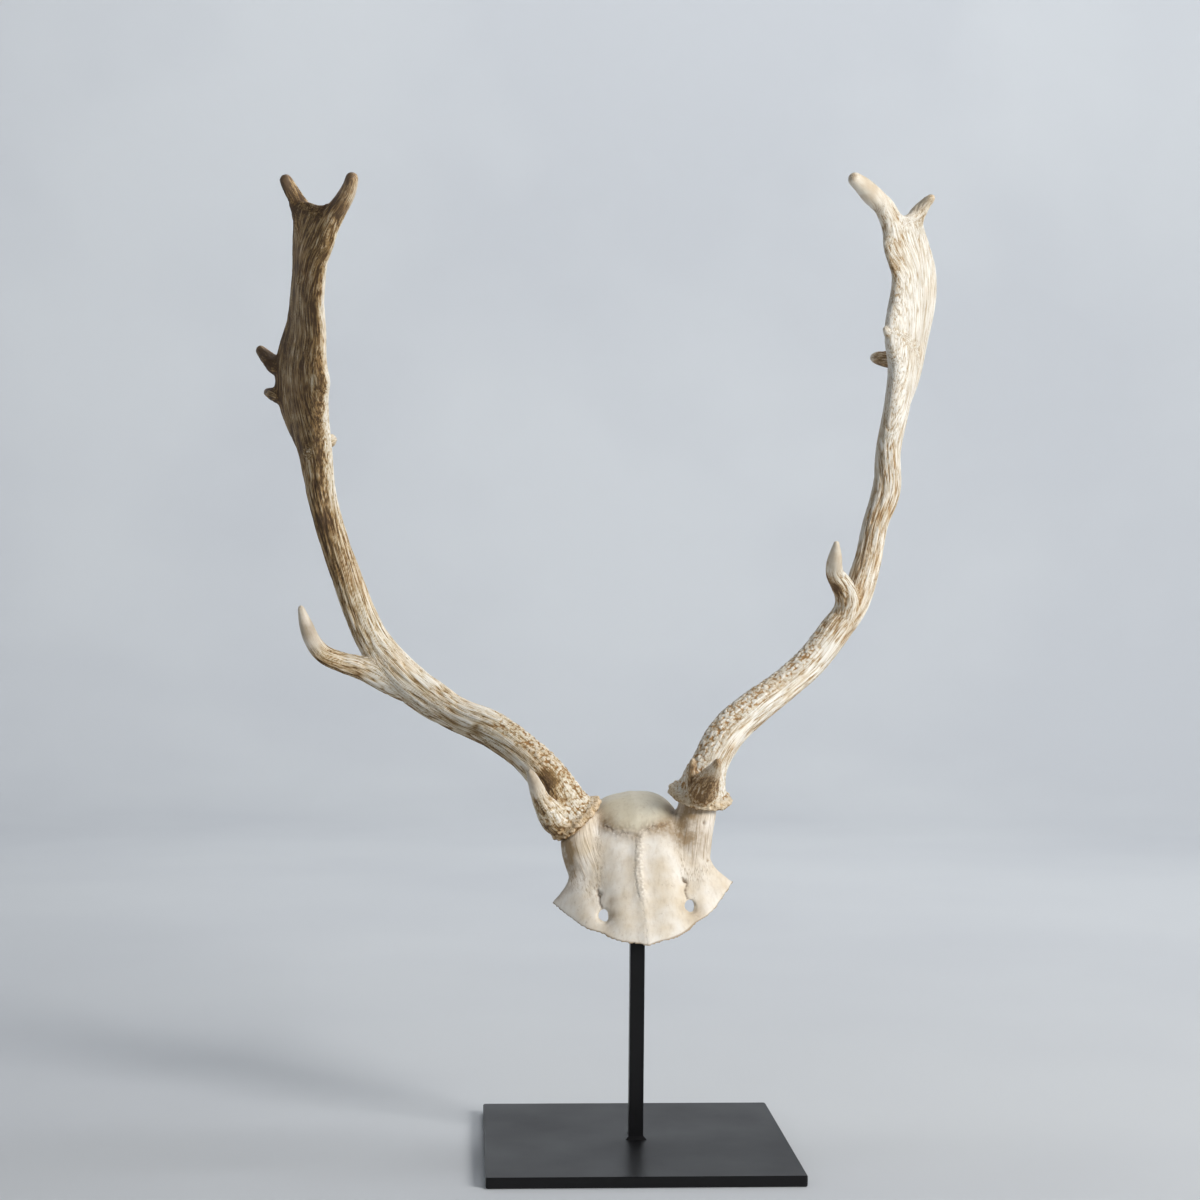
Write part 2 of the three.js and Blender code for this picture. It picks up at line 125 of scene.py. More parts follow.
RIGHT_ANTLER = {
    "side": "right",
    "seed": 47.0,
    "outer_shade": 0,
    "hollow_side": 1,
    "beads": (130, 230),
    "burr": {"centre": (43.6, 26, 231.8), "axis": (0.16, -0.3, 0.94), "radius": 22.9},
    "main": [
        [42, 27, 219, 15.8], [45.8, 26, 240, 15.4], [50.5, 29, 253, 12.9], [63.3, 40, 272.8, 12.7],
        [83.7, 55, 289.3, 11.7], [105.5, 70, 303.8, 11], [126.8, 83, 320.6, 11.3],
        [143.9, 93, 340.3, 11.4], [160.4, 101, 362.2, 11.4, 10.6], [170.3, 106, 390, 10.2, 9.8],
        [176.9, 110, 418, 9.6, 9.4], [185.1, 112, 443.5, 10.4, 10.6], [186.6, 113, 472, 12.7, 9.3, 70],
        [193, 115, 501, 21, 9.2, 68], [199.8, 120, 530.5, 33.4, 9, 63], [201.6, 118, 552.5, 40, 9, 60],
        [202.7, 109, 578.5, 38.6, 8.5, 57], [197.6, 91, 603, 28.6, 7.5, 57],
        [187.6, 69, 623.5, 22.5, 6.5, 51], [187, 62, 630.4, 12.5, 4.8, 51],
    ],
    "palm": 12.5,
    "tines": {
        "brow_tine": [
            [44.1, 24, 230.6, 11], [44, 10, 235.9, 10.6], [45, -2, 241.6, 9], [46.5, -12, 247.4, 7],
            [47.9, -22, 252.8, 4.8], [48.7, -28.5, 256.9, 3.1], [49, -33, 260.2, 1.5],
        ],
        "brow_tooth": [
            [42, 14, 233, 7.5], [39, 9, 240.5, 6.2], [37, 7, 247, 4], [36.6, 6.5, 253, 2.8],
            [36.8, 6, 258.5, 1.3],
        ],
        "trez_tine": [
            [146.3, 92, 340.8, 8], [152.5, 93.5, 350.7, 8.4], [154.2, 92, 361.4, 8.6],
            [151.5, 86, 369.5, 8.3], [146.8, 78, 376.1, 7.6], [141.9, 70, 382, 6.7],
            [139.5, 62, 387.8, 5.7], [139, 55, 394.3, 4.7], [138.5, 46, 405, 1.5],
        ],
        "front_point": [
            [182.7, 72, 612.1, 8.6, 6.8, 51], [178.9, 64, 622.6, 9.4, 7.2, 51],
            [174, 57, 631.1, 9, 7, 51], [167.9, 50, 637.1, 8, 6.8, 51], [160.4, 43, 641.7, 7.1],
            [153, 36, 646.5, 6.2], [147.2, 31, 649.5, 5.1], [142.6, 27, 652, 4.1],
        ],
        "rear_point": [
            [196.7, 86, 620.1, 8], [196.5, 80, 629, 7.6], [198.8, 74, 635.8, 5.8],
            [202.4, 70.5, 641.2, 4.3], [205.3, 67, 644.3, 3.3], [207.7, 64.8, 646.8, 2.3],
        ],
        "back_spur": [
            [203, 132, 538, 5], [194.3, 146, 540.6, 6.5], [186.4, 156, 542.6, 5], [182, 161, 543.6, 3],
        ],
        "knob": [
            [187, 93, 551, 4.5], [180.5, 86, 553.5, 4], [176.5, 83, 556.5, 1.6],
        ],
    },
    "web": [
        [173.5, 55, 633.8, 5], [179.5, 60, 629.6, 5], [185.5, 65, 627, 5], [190, 69, 627.6, 5],
        [194.3, 72, 631, 5], [197, 74, 635.7, 5],
    ],
}

# Skull cap. Its own frame has z up the forehead's midline from the sawn edge, and y inwards.
CAP_PLACE = (8, -28, 135.5)
CAP_LEAN = math.radians(26)
CAP_ROLL = math.radians(6.5)
SAW_ANGLE = math.radians(26.5)
BONE_WALL = 4.5
FOREHEAD_LENGTH = 82
FOREHEAD_CROSS_CURVE = 0.0055
RIDGE_HEIGHT = 1.8
RIDGE_WIDTH = 3.4
FLARE = {"half_width": 63, "z": 46, "curve": 2, "bend_from": 47, "bend": 0.003}
WAIST = {"half_width": 47.5, "z": 64}
VALLEY = {"z": (0, 12, 28, 45, 60, 78), "x": (28, 28, 29, 30, 32, 31), "depth": 2.1, "width": 6.5}
SWELLING = {"x": 15, "height": 0.7, "width": 8}
BROW = {"x": 42, "height": 0.7, "width": 7}
CREST_HALF_WIDTH = 42
FORAMEN = {"x": 28.5, "z": 28, "radius": 3.3, "wear": (0.1, 0.08)}
BRAINCASE = {"y": 42.5, "z": 88.5, "half": (33.5, 44, 35.2), "squareness": 2.7}
PEDICLE_STATIONS = [[31.5, 22, 56, 14.3], [37, 16, 78, 13.9]]
PEDICLE_TOP_RADIUS = 13


# ---------------------------------------------------------------- curves and limbs

# How far a bump reaches from its top, as a share of the spacing.
BUMP_REACH = 0.62


def knot_curve(knots, fractions, even):
    """Points of a Catmull-Rom curve, centripetal or even, at fractions of its knots."""
    knots = np.asarray(knots, float)
    padded = np.vstack([2 * knots[0] - knots[1], knots, 2 * knots[-1] - knots[-2]])
    place = np.clip(fractions, 0, 1) * (len(knots) - 1)
    first = np.minimum(place.astype(int), len(knots) - 2)
    w = (place - first)[:, None]
    p0, p1, p2, p3 = (padded[first + k] for k in range(4))
    if even:
        leave, arrive = (p2 - p0) / 2, (p3 - p1) / 2
    else:
        d0, d1, d2 = (
            np.sqrt(np.linalg.norm(b - a, axis=1, keepdims=True))
            for a, b in ((p0, p1), (p1, p2), (p2, p3))
        )
        leave = ((p1 - p0) / d0 - (p2 - p0) / (d0 + d1) + (p2 - p1) / d1) * d1
        arrive = ((p2 - p1) / d1 - (p3 - p1) / (d1 + d2) + (p3 - p2) / d2) * d1
    bend = 2 * (p1 - p2) + leave + arrive
    swing = 3 * (p2 - p1) - 2 * leave - arrive
    return ((bend * w + swing) * w + leave) * w + p1


def unit(vectors):
    return vectors / np.linalg.norm(vectors, axis=-1, keepdims=True)


def ease(low, high, values):
    """0 below low and 1 above high, with a smooth rise between."""
    t = np.clip((values - low) / (high - low), 0, 1)
    return t * t * (3 - 2 * t)


def gauss(values, width):
    """1 at 0, falling smoothly to nearly 0 at twice the width on either side."""
    return np.exp(-((values / width) ** 2))


def drawn_out(place, share):
    """Places on a limb whose noise is drawn out along it, by a share of 1 or less."""
    return place * (1, 1, share)


def wander(points, size, seed=0.0):
    """Soft noise from -1 to 1 with lumps about size across."""
    return np.array([noise.noise(p) for p in (points / size + seed).tolist()])


def bumps(points, size, seed=0.0):
    """Rounded bumps about size across, packed side by side: 1 on each top and 0 between."""
    nearest = np.array([noise.voronoi(p)[0][0] for p in (points / size + seed).tolist()])
    return np.clip(1 - (nearest / BUMP_REACH) ** 2, 0, 1)


def grooves(points, size, width, seed=0.0):
    """Thin winding grooves: 1 along each floor and 0 on the lands."""
    return np.clip(1 - np.abs(wander(points, size, seed)) / width, 0, 1)


def blob(points, centre, radius):
    """1 at the centre, falling smoothly to nearly 0 at twice the radius."""
    return gauss(np.linalg.norm(points - np.array(centre, float), axis=1), radius)


class Limb:
    """A curve through stations, sampled with its section's two directions and two half sizes."""

    def __init__(self, stations, pitch=1.2):
        knots = np.array([s[:3] for s in stations], float)
        girth = np.array([self.girth_of(s) for s in stations], float)
        rough = knot_curve(knots, np.linspace(0, 1, 40), even=False)
        length = np.linalg.norm(np.diff(rough, axis=0), axis=1).sum()
        fractions = np.linspace(0, 1, int(length / pitch) + 2)
        self.centre = knot_curve(knots, fractions, even=False)
        self.tangent = unit(np.gradient(self.centre, axis=0))
        self.wide, self.thick, turn = knot_curve(girth, fractions, even=True).T
        turn = np.radians(turn)
        across = np.stack([np.cos(turn), np.sin(turn), np.zeros_like(turn)], axis=1)
        lean = (across * self.tangent).sum(axis=1, keepdims=True)
        self.across = unit(across - lean * self.tangent)
        self.through = np.cross(self.across, self.tangent)
        steps = np.linalg.norm(np.diff(self.centre, axis=0), axis=1)
        self.along = np.concatenate([[0], np.cumsum(steps)])
        self.length = self.along[-1]
        self.tree = kdtree.KDTree(len(self.centre))
        for index, point in enumerate(self.centre):
            self.tree.insert(point, index)
        self.tree.balance()

    @staticmethod
    def girth_of(station):
        wide = station[3]
        thick = station[4] if len(station) > 4 else wide
        turn = station[5] if len(station) > 5 else BEAM_TURN
        return wide, thick, turn

    def rounding(self):
        """How far each ring is drawn in, so that the limb ends in a dome."""
        tip = min(self.wide[-1], self.thick[-1])
        shy = np.clip(1 - (self.length - self.along) / tip, 0, 1)
        return np.sqrt(1 - shy**2)

    def surface(self, unit_points, rings):
        """Points on the skin for points (u, v) of the unit circle on the numbered rings."""
        u, v = unit_points.T
        wide, thick = self.wide[rings], self.thick[rings]
        drawn = self.rounding()[rings]
        blade = 1 - BLADE_TAPER * (wide / thick - 1) * u
        outward = self.across[rings] * (u * wide * drawn)[:, None]
        outward += self.through[rings] * (v * thick * blade * drawn)[:, None]
        return self.centre[rings] + outward

    def add_to(self, mesh, sides=32):
        """Adds the limb as a closed tube to a bmesh."""
        tube = bmesh.new()
        bmesh.ops.create_cone(tube, cap_ends=True, segments=sides, radius1=1, radius2=1, depth=1)
        lengthwise = [e for e in tube.edges if abs(e.verts[0].co.z - e.verts[1].co.z) > 0.5]
        rings = len(self.centre)
        bmesh.ops.subdivide_edges(tube, edges=lengthwise, cuts=rings - 2, use_grid_fill=True)
        local = np.array([v.co for v in tube.verts])
        numbers = np.rint((local[:, 2] + 0.5) * (rings - 1)).astype(int)
        for vert, place in zip(tube.verts, self.surface(local[:, :2], numbers)):
            vert.co = place
        merge_into(mesh, tube)

    def local(self, points, reach=1e9):
        """Each point's place on the limb: across, through, along, and its height over the skin."""
        lo = self.centre.min(axis=0) - reach
        hi = self.centre.max(axis=0) + reach
        near = np.flatnonzero(((points > lo) & (points < hi)).all(axis=1))
        place = np.zeros((len(points), 3))
        over = np.full(len(points), float(reach))
        if not len(near):
            return place, over
        rings = np.array([self.tree.find(p)[1] for p in points[near].tolist()])
        offset = points[near] - self.centre[rings]
        a = (offset * self.across[rings]).sum(axis=1)
        b = (offset * self.through[rings]).sum(axis=1)
        s = self.along[rings] + (offset * self.tangent[rings]).sum(axis=1)
        spread = np.hypot(a / self.wide[rings], b / self.thick[rings]) + 1e-9
        beyond = np.maximum(s - self.length, 0)
        place[near] = np.stack([a, b, s], axis=1)
        over[near] = np.hypot(a, b) * (1 - 1 / spread) + beyond
        return place, over


def on_nearest(limbs, points, reach):
    """Each point's place on the nearest limb, its number, and the heights over all the limbs."""
    found = [limb.local(points, reach) for limb in limbs]
    places, overs = (np.array(part) for part in zip(*found))
    nearest = overs.argmin(axis=0)
    return places[nearest, np.arange(len(points))], nearest, overs


# ---------------------------------------------------------------- meshes

def merge_into(mesh, part):
    """Moves one bmesh into another."""
    carrier = bpy.data.meshes.new("carrier")
    part.to_mesh(carrier)
    part.free()
    mesh.from_mesh(carrier)
    bpy.data.meshes.remove(carrier)


def clip(mesh, point, normal):
    """Cuts off and closes what lies on the side that the normal points to."""
    everything = [*mesh.verts, *mesh.edges, *mesh.faces]
    cut = bmesh.ops.bisect_plane(
        mesh, geom=everything, plane_co=point, plane_no=normal, clear_outer=True, dist=1e-5
    )["geom_cut"]
    loops = [g for g in cut if isinstance(g, bmesh.types.BMEdge)]
    bmesh.ops.holes_fill(mesh, edges=loops, sides=0)


def new_piece(name, mesh):
    """Turns a bmesh in millimetres into an object in metres, at the origin."""
    bmesh.ops.recalc_face_normals(mesh, faces=mesh.faces)
    bmesh.ops.scale(mesh, vec=(MM, MM, MM), verts=mesh.verts)
    data = bpy.data.meshes.new(name)
    mesh.to_mesh(data)
    mesh.free()
    piece = bpy.data.objects.new(name, data)
    bpy.context.scene.collection.objects.link(piece)
    return piece


def skin_over(piece, voxel):
    """Adds a modifier that fuses all of a piece into one even skin."""
    skin = piece.modifiers.new("Skin", "REMESH")
    skin.mode = "VOXEL"
    skin.voxel_size = voxel * MM
    skin.use_smooth_shade = True


def cut_away(piece, cutter):
    cut = piece.modifiers.new("Cut", "BOOLEAN")
    cut.operation = "DIFFERENCE"
    cut.solver = "MANIFOLD"
    cut.object = cutter


def bake_modifiers(piece):
    """Makes the shape that a piece's modifiers give its own mesh."""
    graph = bpy.context.evaluated_depsgraph_get()
    shaped = bpy.data.meshes.new_from_object(piece.evaluated_get(graph))
    plain = piece.data
    piece.modifiers.clear()
    piece.data = shaped
    bpy.data.meshes.remove(plain)
    piece.data.name = piece.name


def give_material(piece, material):
    piece.data.materials.clear()
    piece.data.materials.append(material)


# How many rounds of filling use the same normals.
NORMALS_LAST = 5
# A round of evening out moves each vertex inwards by the first share and back by the second.
SMOOTHING = 0.55
UNSMOOTHING = -0.57
# Rounds of evening out for a fresh skin, and after its creases are filled.
FRESH_ROUNDS = 4
FILLED_ROUNDS = 2


class Carving:
    """A piece's vertices in millimetres, to be smoothed, moved and marked."""

    def __init__(self, piece):
        self.mesh = piece.data
        self.count = len(self.mesh.vertices)
        flat = np.empty(self.count * 3)
        self.mesh.vertices.foreach_get("co", flat)
        self.points = flat.reshape(-1, 3) / MM
        ends = np.empty(len(self.mesh.edges) * 2, int)
        self.mesh.edges.foreach_get("vertices", ends)
        first, second = ends.reshape(-1, 2).T
        self.here = np.concatenate([first, second])
        self.there = np.concatenate([second, first])
        self.links = np.maximum(np.bincount(self.here, minlength=self.count), 1)

    def to_neighbours(self):
        """The way from each point to the middle of its neighbours."""
        middle = [
            np.bincount(self.here, axis[self.there], self.count) / self.links for axis in self.points.T
        ]
        return np.stack(middle, axis=1) - self.points

    def smooth(self, weight, rounds):
        for _ in range(rounds):
            self.points += self.to_neighbours() * weight[:, None]

    def fill(self, weight, rounds):
        """Rounds off creases by moving the skin outwards only."""
        for step in range(rounds):
            if step % NORMALS_LAST == 0:
                normals = self.normals()
            lift = (self.to_neighbours() * normals).sum(axis=1)
            self.points += normals * (weight * np.maximum(lift, 0))[:, None]

    def even_out(self, rounds):
        """Takes the steps out of the skin without shrinking it."""
        for _ in range(rounds):
            self.smooth(np.full(self.count, SMOOTHING), 1)
            self.smooth(np.full(self.count, UNSMOOTHING), 1)

    def normals(self):
        self.store()
        flat = np.empty(self.count * 3, np.float32)
        self.mesh.vertex_normals.foreach_get("vector", flat)
        return flat.reshape(-1, 3).astype(float)

    def raise_by(self, height):
        self.points += self.normals() * height[:, None]

    def store(self):
        self.mesh.vertices.foreach_set("co", (self.points * MM).ravel())
        self.mesh.update()

    def mark(self, **marks):
        """Stores numbers or vectors for the vertices, under the names that the material reads."""
        for name, values in marks.items():
            if values.ndim == 1:
                self.mesh.attributes.new(name, "FLOAT", "POINT").data.foreach_set("value", values)
            else:
                vectors = self.mesh.attributes.new(name, "FLOAT_VECTOR", "POINT")
                vectors.data.foreach_set("vector", values.ravel())


# ---------------------------------------------------------------- materials

class Finish:
    """A node material, built from calls that each add a node and return its output."""

    def __init__(self, name):
        self.material = bpy.data.materials.new(name)
        self.material.use_nodes = True
        self.tree = self.material.node_tree
        self.tree.nodes.clear()

    def add(self, kind, inputs, output=0, **settings):
        node = self.tree.nodes.new("ShaderNode" + kind)
        for key, value in settings.items():
            setattr(node, key, value)
        for key, value in inputs.items():
            if isinstance(value, bpy.types.NodeSocket):
                self.tree.links.new(value, node.inputs[key])
            else:
                node.inputs[key].default_value = value
        return node.outputs[output]

    def number(self, name):
        return self.add("Attribute", {}, output="Fac", attribute_name=name)

    def vector(self, name):
        return self.add("Attribute", {}, output="Vector", attribute_name=name)

    def place(self):
        return self.add("TexCoord", {}, output="Object")

    def scaled(self, vector, scale):
        return self.add("VectorMath", {0: vector, 1: scale}, operation="MULTIPLY")

    def math(self, operation, first, second=0.0, clamp=False):
        return self.add("Math", {0: first, 1: second}, operation=operation, use_clamp=clamp)

    def plus(self, first, second):
        return self.math("ADD", first, second)

    def minus(self, first, second):
        return self.math("SUBTRACT", first, second)

    def times(self, first, second, clamp=False):
        return self.math("MULTIPLY", first, second, clamp)

    def larger(self, first, second):
        return self.math("MAXIMUM", first, second)

    def size(self, value):
        return self.math("ABSOLUTE", value)

    def noise(self, vector, scale=1.0, detail=2.0, roughness=0.5):
        sockets = {"Vector": vector, "Scale": scale, "Detail": detail, "Roughness": roughness}
        return self.add("TexNoise", sockets)

    def cells(self, vector, scale):
        """0 in the middle of small packed cells, rising to about 1 where they meet."""
        return self.add("TexVoronoi", {"Vector": vector, "Scale": scale}, output="Distance")

    def blend(self, factor, first, second):
        """A number between two numbers."""
        return self.add("Mix", {0: factor, 2: first, 3: second})

    def tint(self, factor, first, second, mode="MIX"):
        """A colour between two colours, each from a node or of three numbers."""
        colours = [c if isinstance(c, bpy.types.NodeSocket) else (*c, 1) for c in (first, second)]
        sockets = {0: factor, 6: colours[0], 7: colours[1]}
        return self.add("Mix", sockets, output=2, data_type="RGBA", blend_type=mode)

    def spread(self, value, low, high, bottom=0.0, top=1.0):
        """Maps low and high to bottom and top, and holds the ends."""
        return self.add("MapRange", {0: value, 1: low, 2: high, 3: bottom, 4: top})

    def ramp(self, value, stops):
        shade = self.add("ValToRGB", {0: value})
        band = shade.node.color_ramp
        while len(band.elements) < len(stops):
            band.elements.new(0.5)
        for element, (position, colour) in zip(band.elements, stops):
            element.position = position
            element.color = (*colour, 1)
        return shade

    def bump(self, height, distance, strength=1.0):
        sockets = {"Height": height, "Distance": distance * MM, "Strength": strength}
        return self.add("Bump", sockets)

    def surface(self, **sockets):
        inputs = {key.replace("_", " "): value for key, value in sockets.items()}
        shader = self.add("BsdfPrincipled", inputs)
        end = self.tree.nodes.new("ShaderNodeOutputMaterial")
        self.tree.links.new(shader, end.inputs["Surface"])
        return self.material


def tone(*screen):
    """A screen colour, 0 to 255 and over 10, as the linear colour that shaders use."""
    return tuple(((c / 255 + 0.055) / 1.055) ** 2.4 for c in screen)


# ---------------------------------------------------------------- antlers

FORK_BLEND = 4
TINE_REACH = 25
# How far and how strongly creases are filled: the forks, the slits behind brow tines, the burr's top.
CROTCH = {"reach": 12, "fill": 0.9}
SLIT = {"reach": 5, "fill": 0.45}
BURR_CREASE = {"reach": 5, "fill": 0.8}
FILL_ROUNDS = 100
# Furrows, beads and swellings: their size across a limb, and how the noise is drawn out along it.
FURROW = {"size": 3.8, "width": 0.2, "along": 0.08}
FINE_FURROW = {"size": 2.5, "width": 0.2, "along": 0.13}
FINE_DEPTH = 0.6
FINE_SHADE = 0.75
DRIFT = {"size": 9, "height": 1.4, "along": 0.2}
SWELL = {"size": 13, "height": 0.7, "along": 0.2}
BEAD = {"size": 2.7, "middle": 0.4, "along": 0.8, "shade": 0.8, "hides_furrows": 0.7}
# Where the beads of the foot fade out along the beam, and how far up those beyond them face.
FOOT_BEADS = (14, 40)
BEADS_FACE_UP = (0.1, 0.75)
# The palm's skin sets in along this stretch, measured from the palm's start.
PALM_RISE = (-60, 40)
PALM = {"hides_furrows": 0.6, "hides_swell": 0.5, "drawn_in": 0.25, "lightens": 0.4}
TROUGH = {"depth": 1.5, "middle": 12, "half_width": 13, "sets_in": (1, 5)}
TINE = {"furrows": 1.25, "bare_lightens": 0.85, "hides_beads": 0.6}
# The burr's knobby rim, measured inwards from its radius and up and down from its faces.
RIM = {"from": 6, "full": 2, "above": 3, "knob_size": 3.8, "knob_middle": 0.45, "beaded": 0.5}
# Where a tine's furrows begin to fade and where it is bare, as fractions of its length.
BARE = {
    "brow_tine": (0.55, 0.85),
    "trez_tine": (0.62, 0.8),
    "front_point": (0.25, 0.85),
    "rear_point": (0.5, 1.1),
}
BARE_SPUR = (0.4, 1.2)
# Browning on the underside, partly dirt and partly painted shade, and painted shade on the outer face
# from below the palm's start upwards.
UNDERSIDE_DIRT_AND_SHADE = {"stain": 0.7, "facing": (0.3, 0.95)}
OUTER_FACE = {"facing": (-0.95, 0.05), "below_palm": 190, "less_on_tines": 0.3}
CLEAN_RIM = 0.25
# Where the bone is stained, and where shade is painted, as [x, y, z, radius, strength]. The spots at x
# -62 to -55 beside the left brow tine are painted shade in the slit behind it; those on the right brow
# tine and its tooth (x 36 to 49), on the right palm's front edge (x 180 to 181) and on the left antler's
# back spurs (x -258) are partly stain and partly painted shade.
STAINS_AND_SHADE = {
    "left": [
        [-201, 98, 378, 16, 0.35], [-210, 98, 405, 20, 0.3], [-192, 16, 646, 13, 0.8],
        [-202, 32, 630, 12, 0.5], [-240, 52, 648, 13, 0.9], [-232, 60, 632, 12, 0.5],
        [-258, 150, 540, 22, 0.7], [-258, 155, 508, 18, 0.6], [-212, 86, 324, 9, 0.8],
        [-90, 50, 255, 18, 0.4], [-56, 10, 210, 9, 0.4], [-62, 20, 243, 7, 1.0],
        [-59, 17, 236.5, 7, 1.2], [-55, 15, 229, 6, 1.0], [-100, 60, 262, 12, 0.3],
        [-125, 78, 272, 12, 0.3],
    ],
    "right": [
        [43, -2, 238, 11, 0.65], [46, -18, 249, 10, 0.7], [49, -32, 260, 9, 1.0], [37, 4, 240, 8, 0.5],
        [36.5, 4, 254, 7, 1.0], [190, 152, 542, 14, 0.9], [176, 100, 575, 9, 0.35],
        [146, 80, 345, 16, 0.4], [158, 92, 375, 14, 0.35], [168, 97, 400, 16, 0.25],
        [174, 101, 428, 16, 0.25], [180, 103, 455, 15, 0.25], [184, 105, 480, 13, 0.2],
        [150, 60, 370, 10, 0.2], [139, 76, 373, 7, 0.9], [135, 68, 382, 6, 1.0], [133, 60, 391, 6, 0.8],
        [180, 62, 612, 7, 0.5], [181, 66, 598, 7, 0.5], [180, 72, 584, 7, 0.45], [143, 27, 652, 6, 0.7],
        [207, 66, 646, 6, 0.6],
    ],
}


def burr_disc(burr, inset):
    """A thick disc with a rounded rim across the antler's foot, inset to leave room for knobs."""
    disc = bmesh.new()
    bmesh.ops.create_uvsphere(disc, u_segments=48, v_segments=24, radius=1)
    power = BURR_SQUARENESS
    for vert in disc.verts:
        reach = math.hypot(vert.co.x, vert.co.y)
        vert.co /= (reach**power + abs(vert.co.z) ** power) ** (1 / power)
    radius = burr["radius"] - inset
    bmesh.ops.scale(disc, vec=(radius, radius, BURR_THICKNESS / 2), verts=disc.verts)
    turn = Vector((0, 0, 1)).rotation_difference(Vector(burr["axis"]))
    pose = Matrix.Translation(burr["centre"]) @ turn.to_matrix().to_4x4()
    bmesh.ops.transform(disc, matrix=pose, verts=disc.verts)
    return disc


KNOT_SHARES = (0.65, 0.35)


def knots_of(burr_points, size, seed):
    """Small rounded knobs of two sizes, packed side by side."""
    large, small = KNOT_SHARES
    return large * bumps(burr_points, size, seed) + small * bumps(burr_points, size / 2, seed + 1)


def furrows(place, seed):
    """Long winding furrows with finer ones between them, in a limb's own directions."""
    drift = DRIFT["height"] * wander(drawn_out(place, DRIFT["along"]), DRIFT["size"], seed + 2)
    place = place + drift[:, None] * (1, -1, 0)
    return (
        grooves(drawn_out(place, kind["along"]), kind["size"], kind["width"], seed + step)
        for kind, step in ((FURROW, 0), (FINE_FURROW, 5))
    )


def main_marks(place, upward, palm_start, antler, finish):
    """Height, lightness and beading of the beam's and the palm's skin at each vertex."""
    across, through, along = place.T
    seed = antler["seed"]
    palm = ease(palm_start + PALM_RISE[0], palm_start + PALM_RISE[1], along)
    beaded = (1 - ease(*antler["beads"], along)) * ease(*BEADS_FACE_UP, upward)
    beaded = np.maximum(1 - ease(*FOOT_BEADS, along), beaded)
    deep, fine = furrows(place, seed)
    bead = bumps(drawn_out(place, BEAD["along"]), BEAD["size"], seed + 9)
    swell = wander(drawn_out(place, SWELL["along"]), SWELL["size"], seed + 3)
    depth = finish.groove_depth / MM * (1 - PALM["hides_furrows"] * palm)
    depth *= 1 - BEAD["hides_furrows"] * beaded
    height = SWELL["height"] * (1 - PALM["hides_swell"] * palm) * swell
    height -= depth * (deep + FINE_DEPTH * fine) + PALM["drawn_in"] * palm
    trough = gauss(across - TROUGH["middle"], TROUGH["half_width"])
    trough *= ease(*TROUGH["sets_in"], antler["hollow_side"] * through)
    height -= TROUGH["depth"] * palm * trough
    height += finish.pearl_height / MM * beaded * (bead - BEAD["middle"])
    land = 1 - np.maximum(deep, FINE_SHADE * fine) * (1 - PALM["lightens"] * palm)
    land += BEAD["shade"] * (np.sqrt(bead) - land) * beaded
    return height, land, beaded


def tine_marks(place, bare, seed, finish):
    """Height and lightness of a tine, furrowed at its root and bare at its tip."""
    deep, fine = furrows(place, seed)
    depth = finish.groove_depth / MM * (1 - bare)
    height = -depth * (TINE["furrows"] * deep + FINE_DEPTH * fine)
    return height, 1 - np.maximum(deep, FINE_SHADE * fine) * (1 - TINE["bare_lightens"] * bare)


def on_burr(points, burr):
    """Each point's height over the burr's middle and its distance from the burr's axis."""
    offset = points - burr["centre"]
    axis = unit(np.array(burr["axis"]))
    up = offset @ axis
    return up, np.linalg.norm(offset - up[:, None] * axis, axis=1)


def antler_stain(carving, antler, along, palm_start, fork, bare):
    """How brown each vertex is, from stains and painted shade: dirt and painted shade on the underside,
    painted shade on the outer face, and both in the listed spots.
    """
    facing = carving.normals()
    outward = facing[:, 0] * math.copysign(1, antler["burr"]["centre"][0])
    # Dirt and painted shade: the underside is browned by how far it faces down.
    stain = UNDERSIDE_DIRT_AND_SHADE["stain"] * ease(*UNDERSIDE_DIRT_AND_SHADE["facing"], -facing[:, 2]) * (1 - bare)
    # Painted shade: the outer face is browned by how far it faces outwards.
    outer = antler["outer_shade"] * ease(*OUTER_FACE["facing"], outward)
    outer *= ease(palm_start - OUTER_FACE["below_palm"], palm_start, along)
    stain += outer * (1 - OUTER_FACE["less_on_tines"] * fork)
    for *centre, radius, strength in STAINS_AND_SHADE[antler["side"]]:
        stain += strength * blob(carving.points, centre, radius)
    return stain


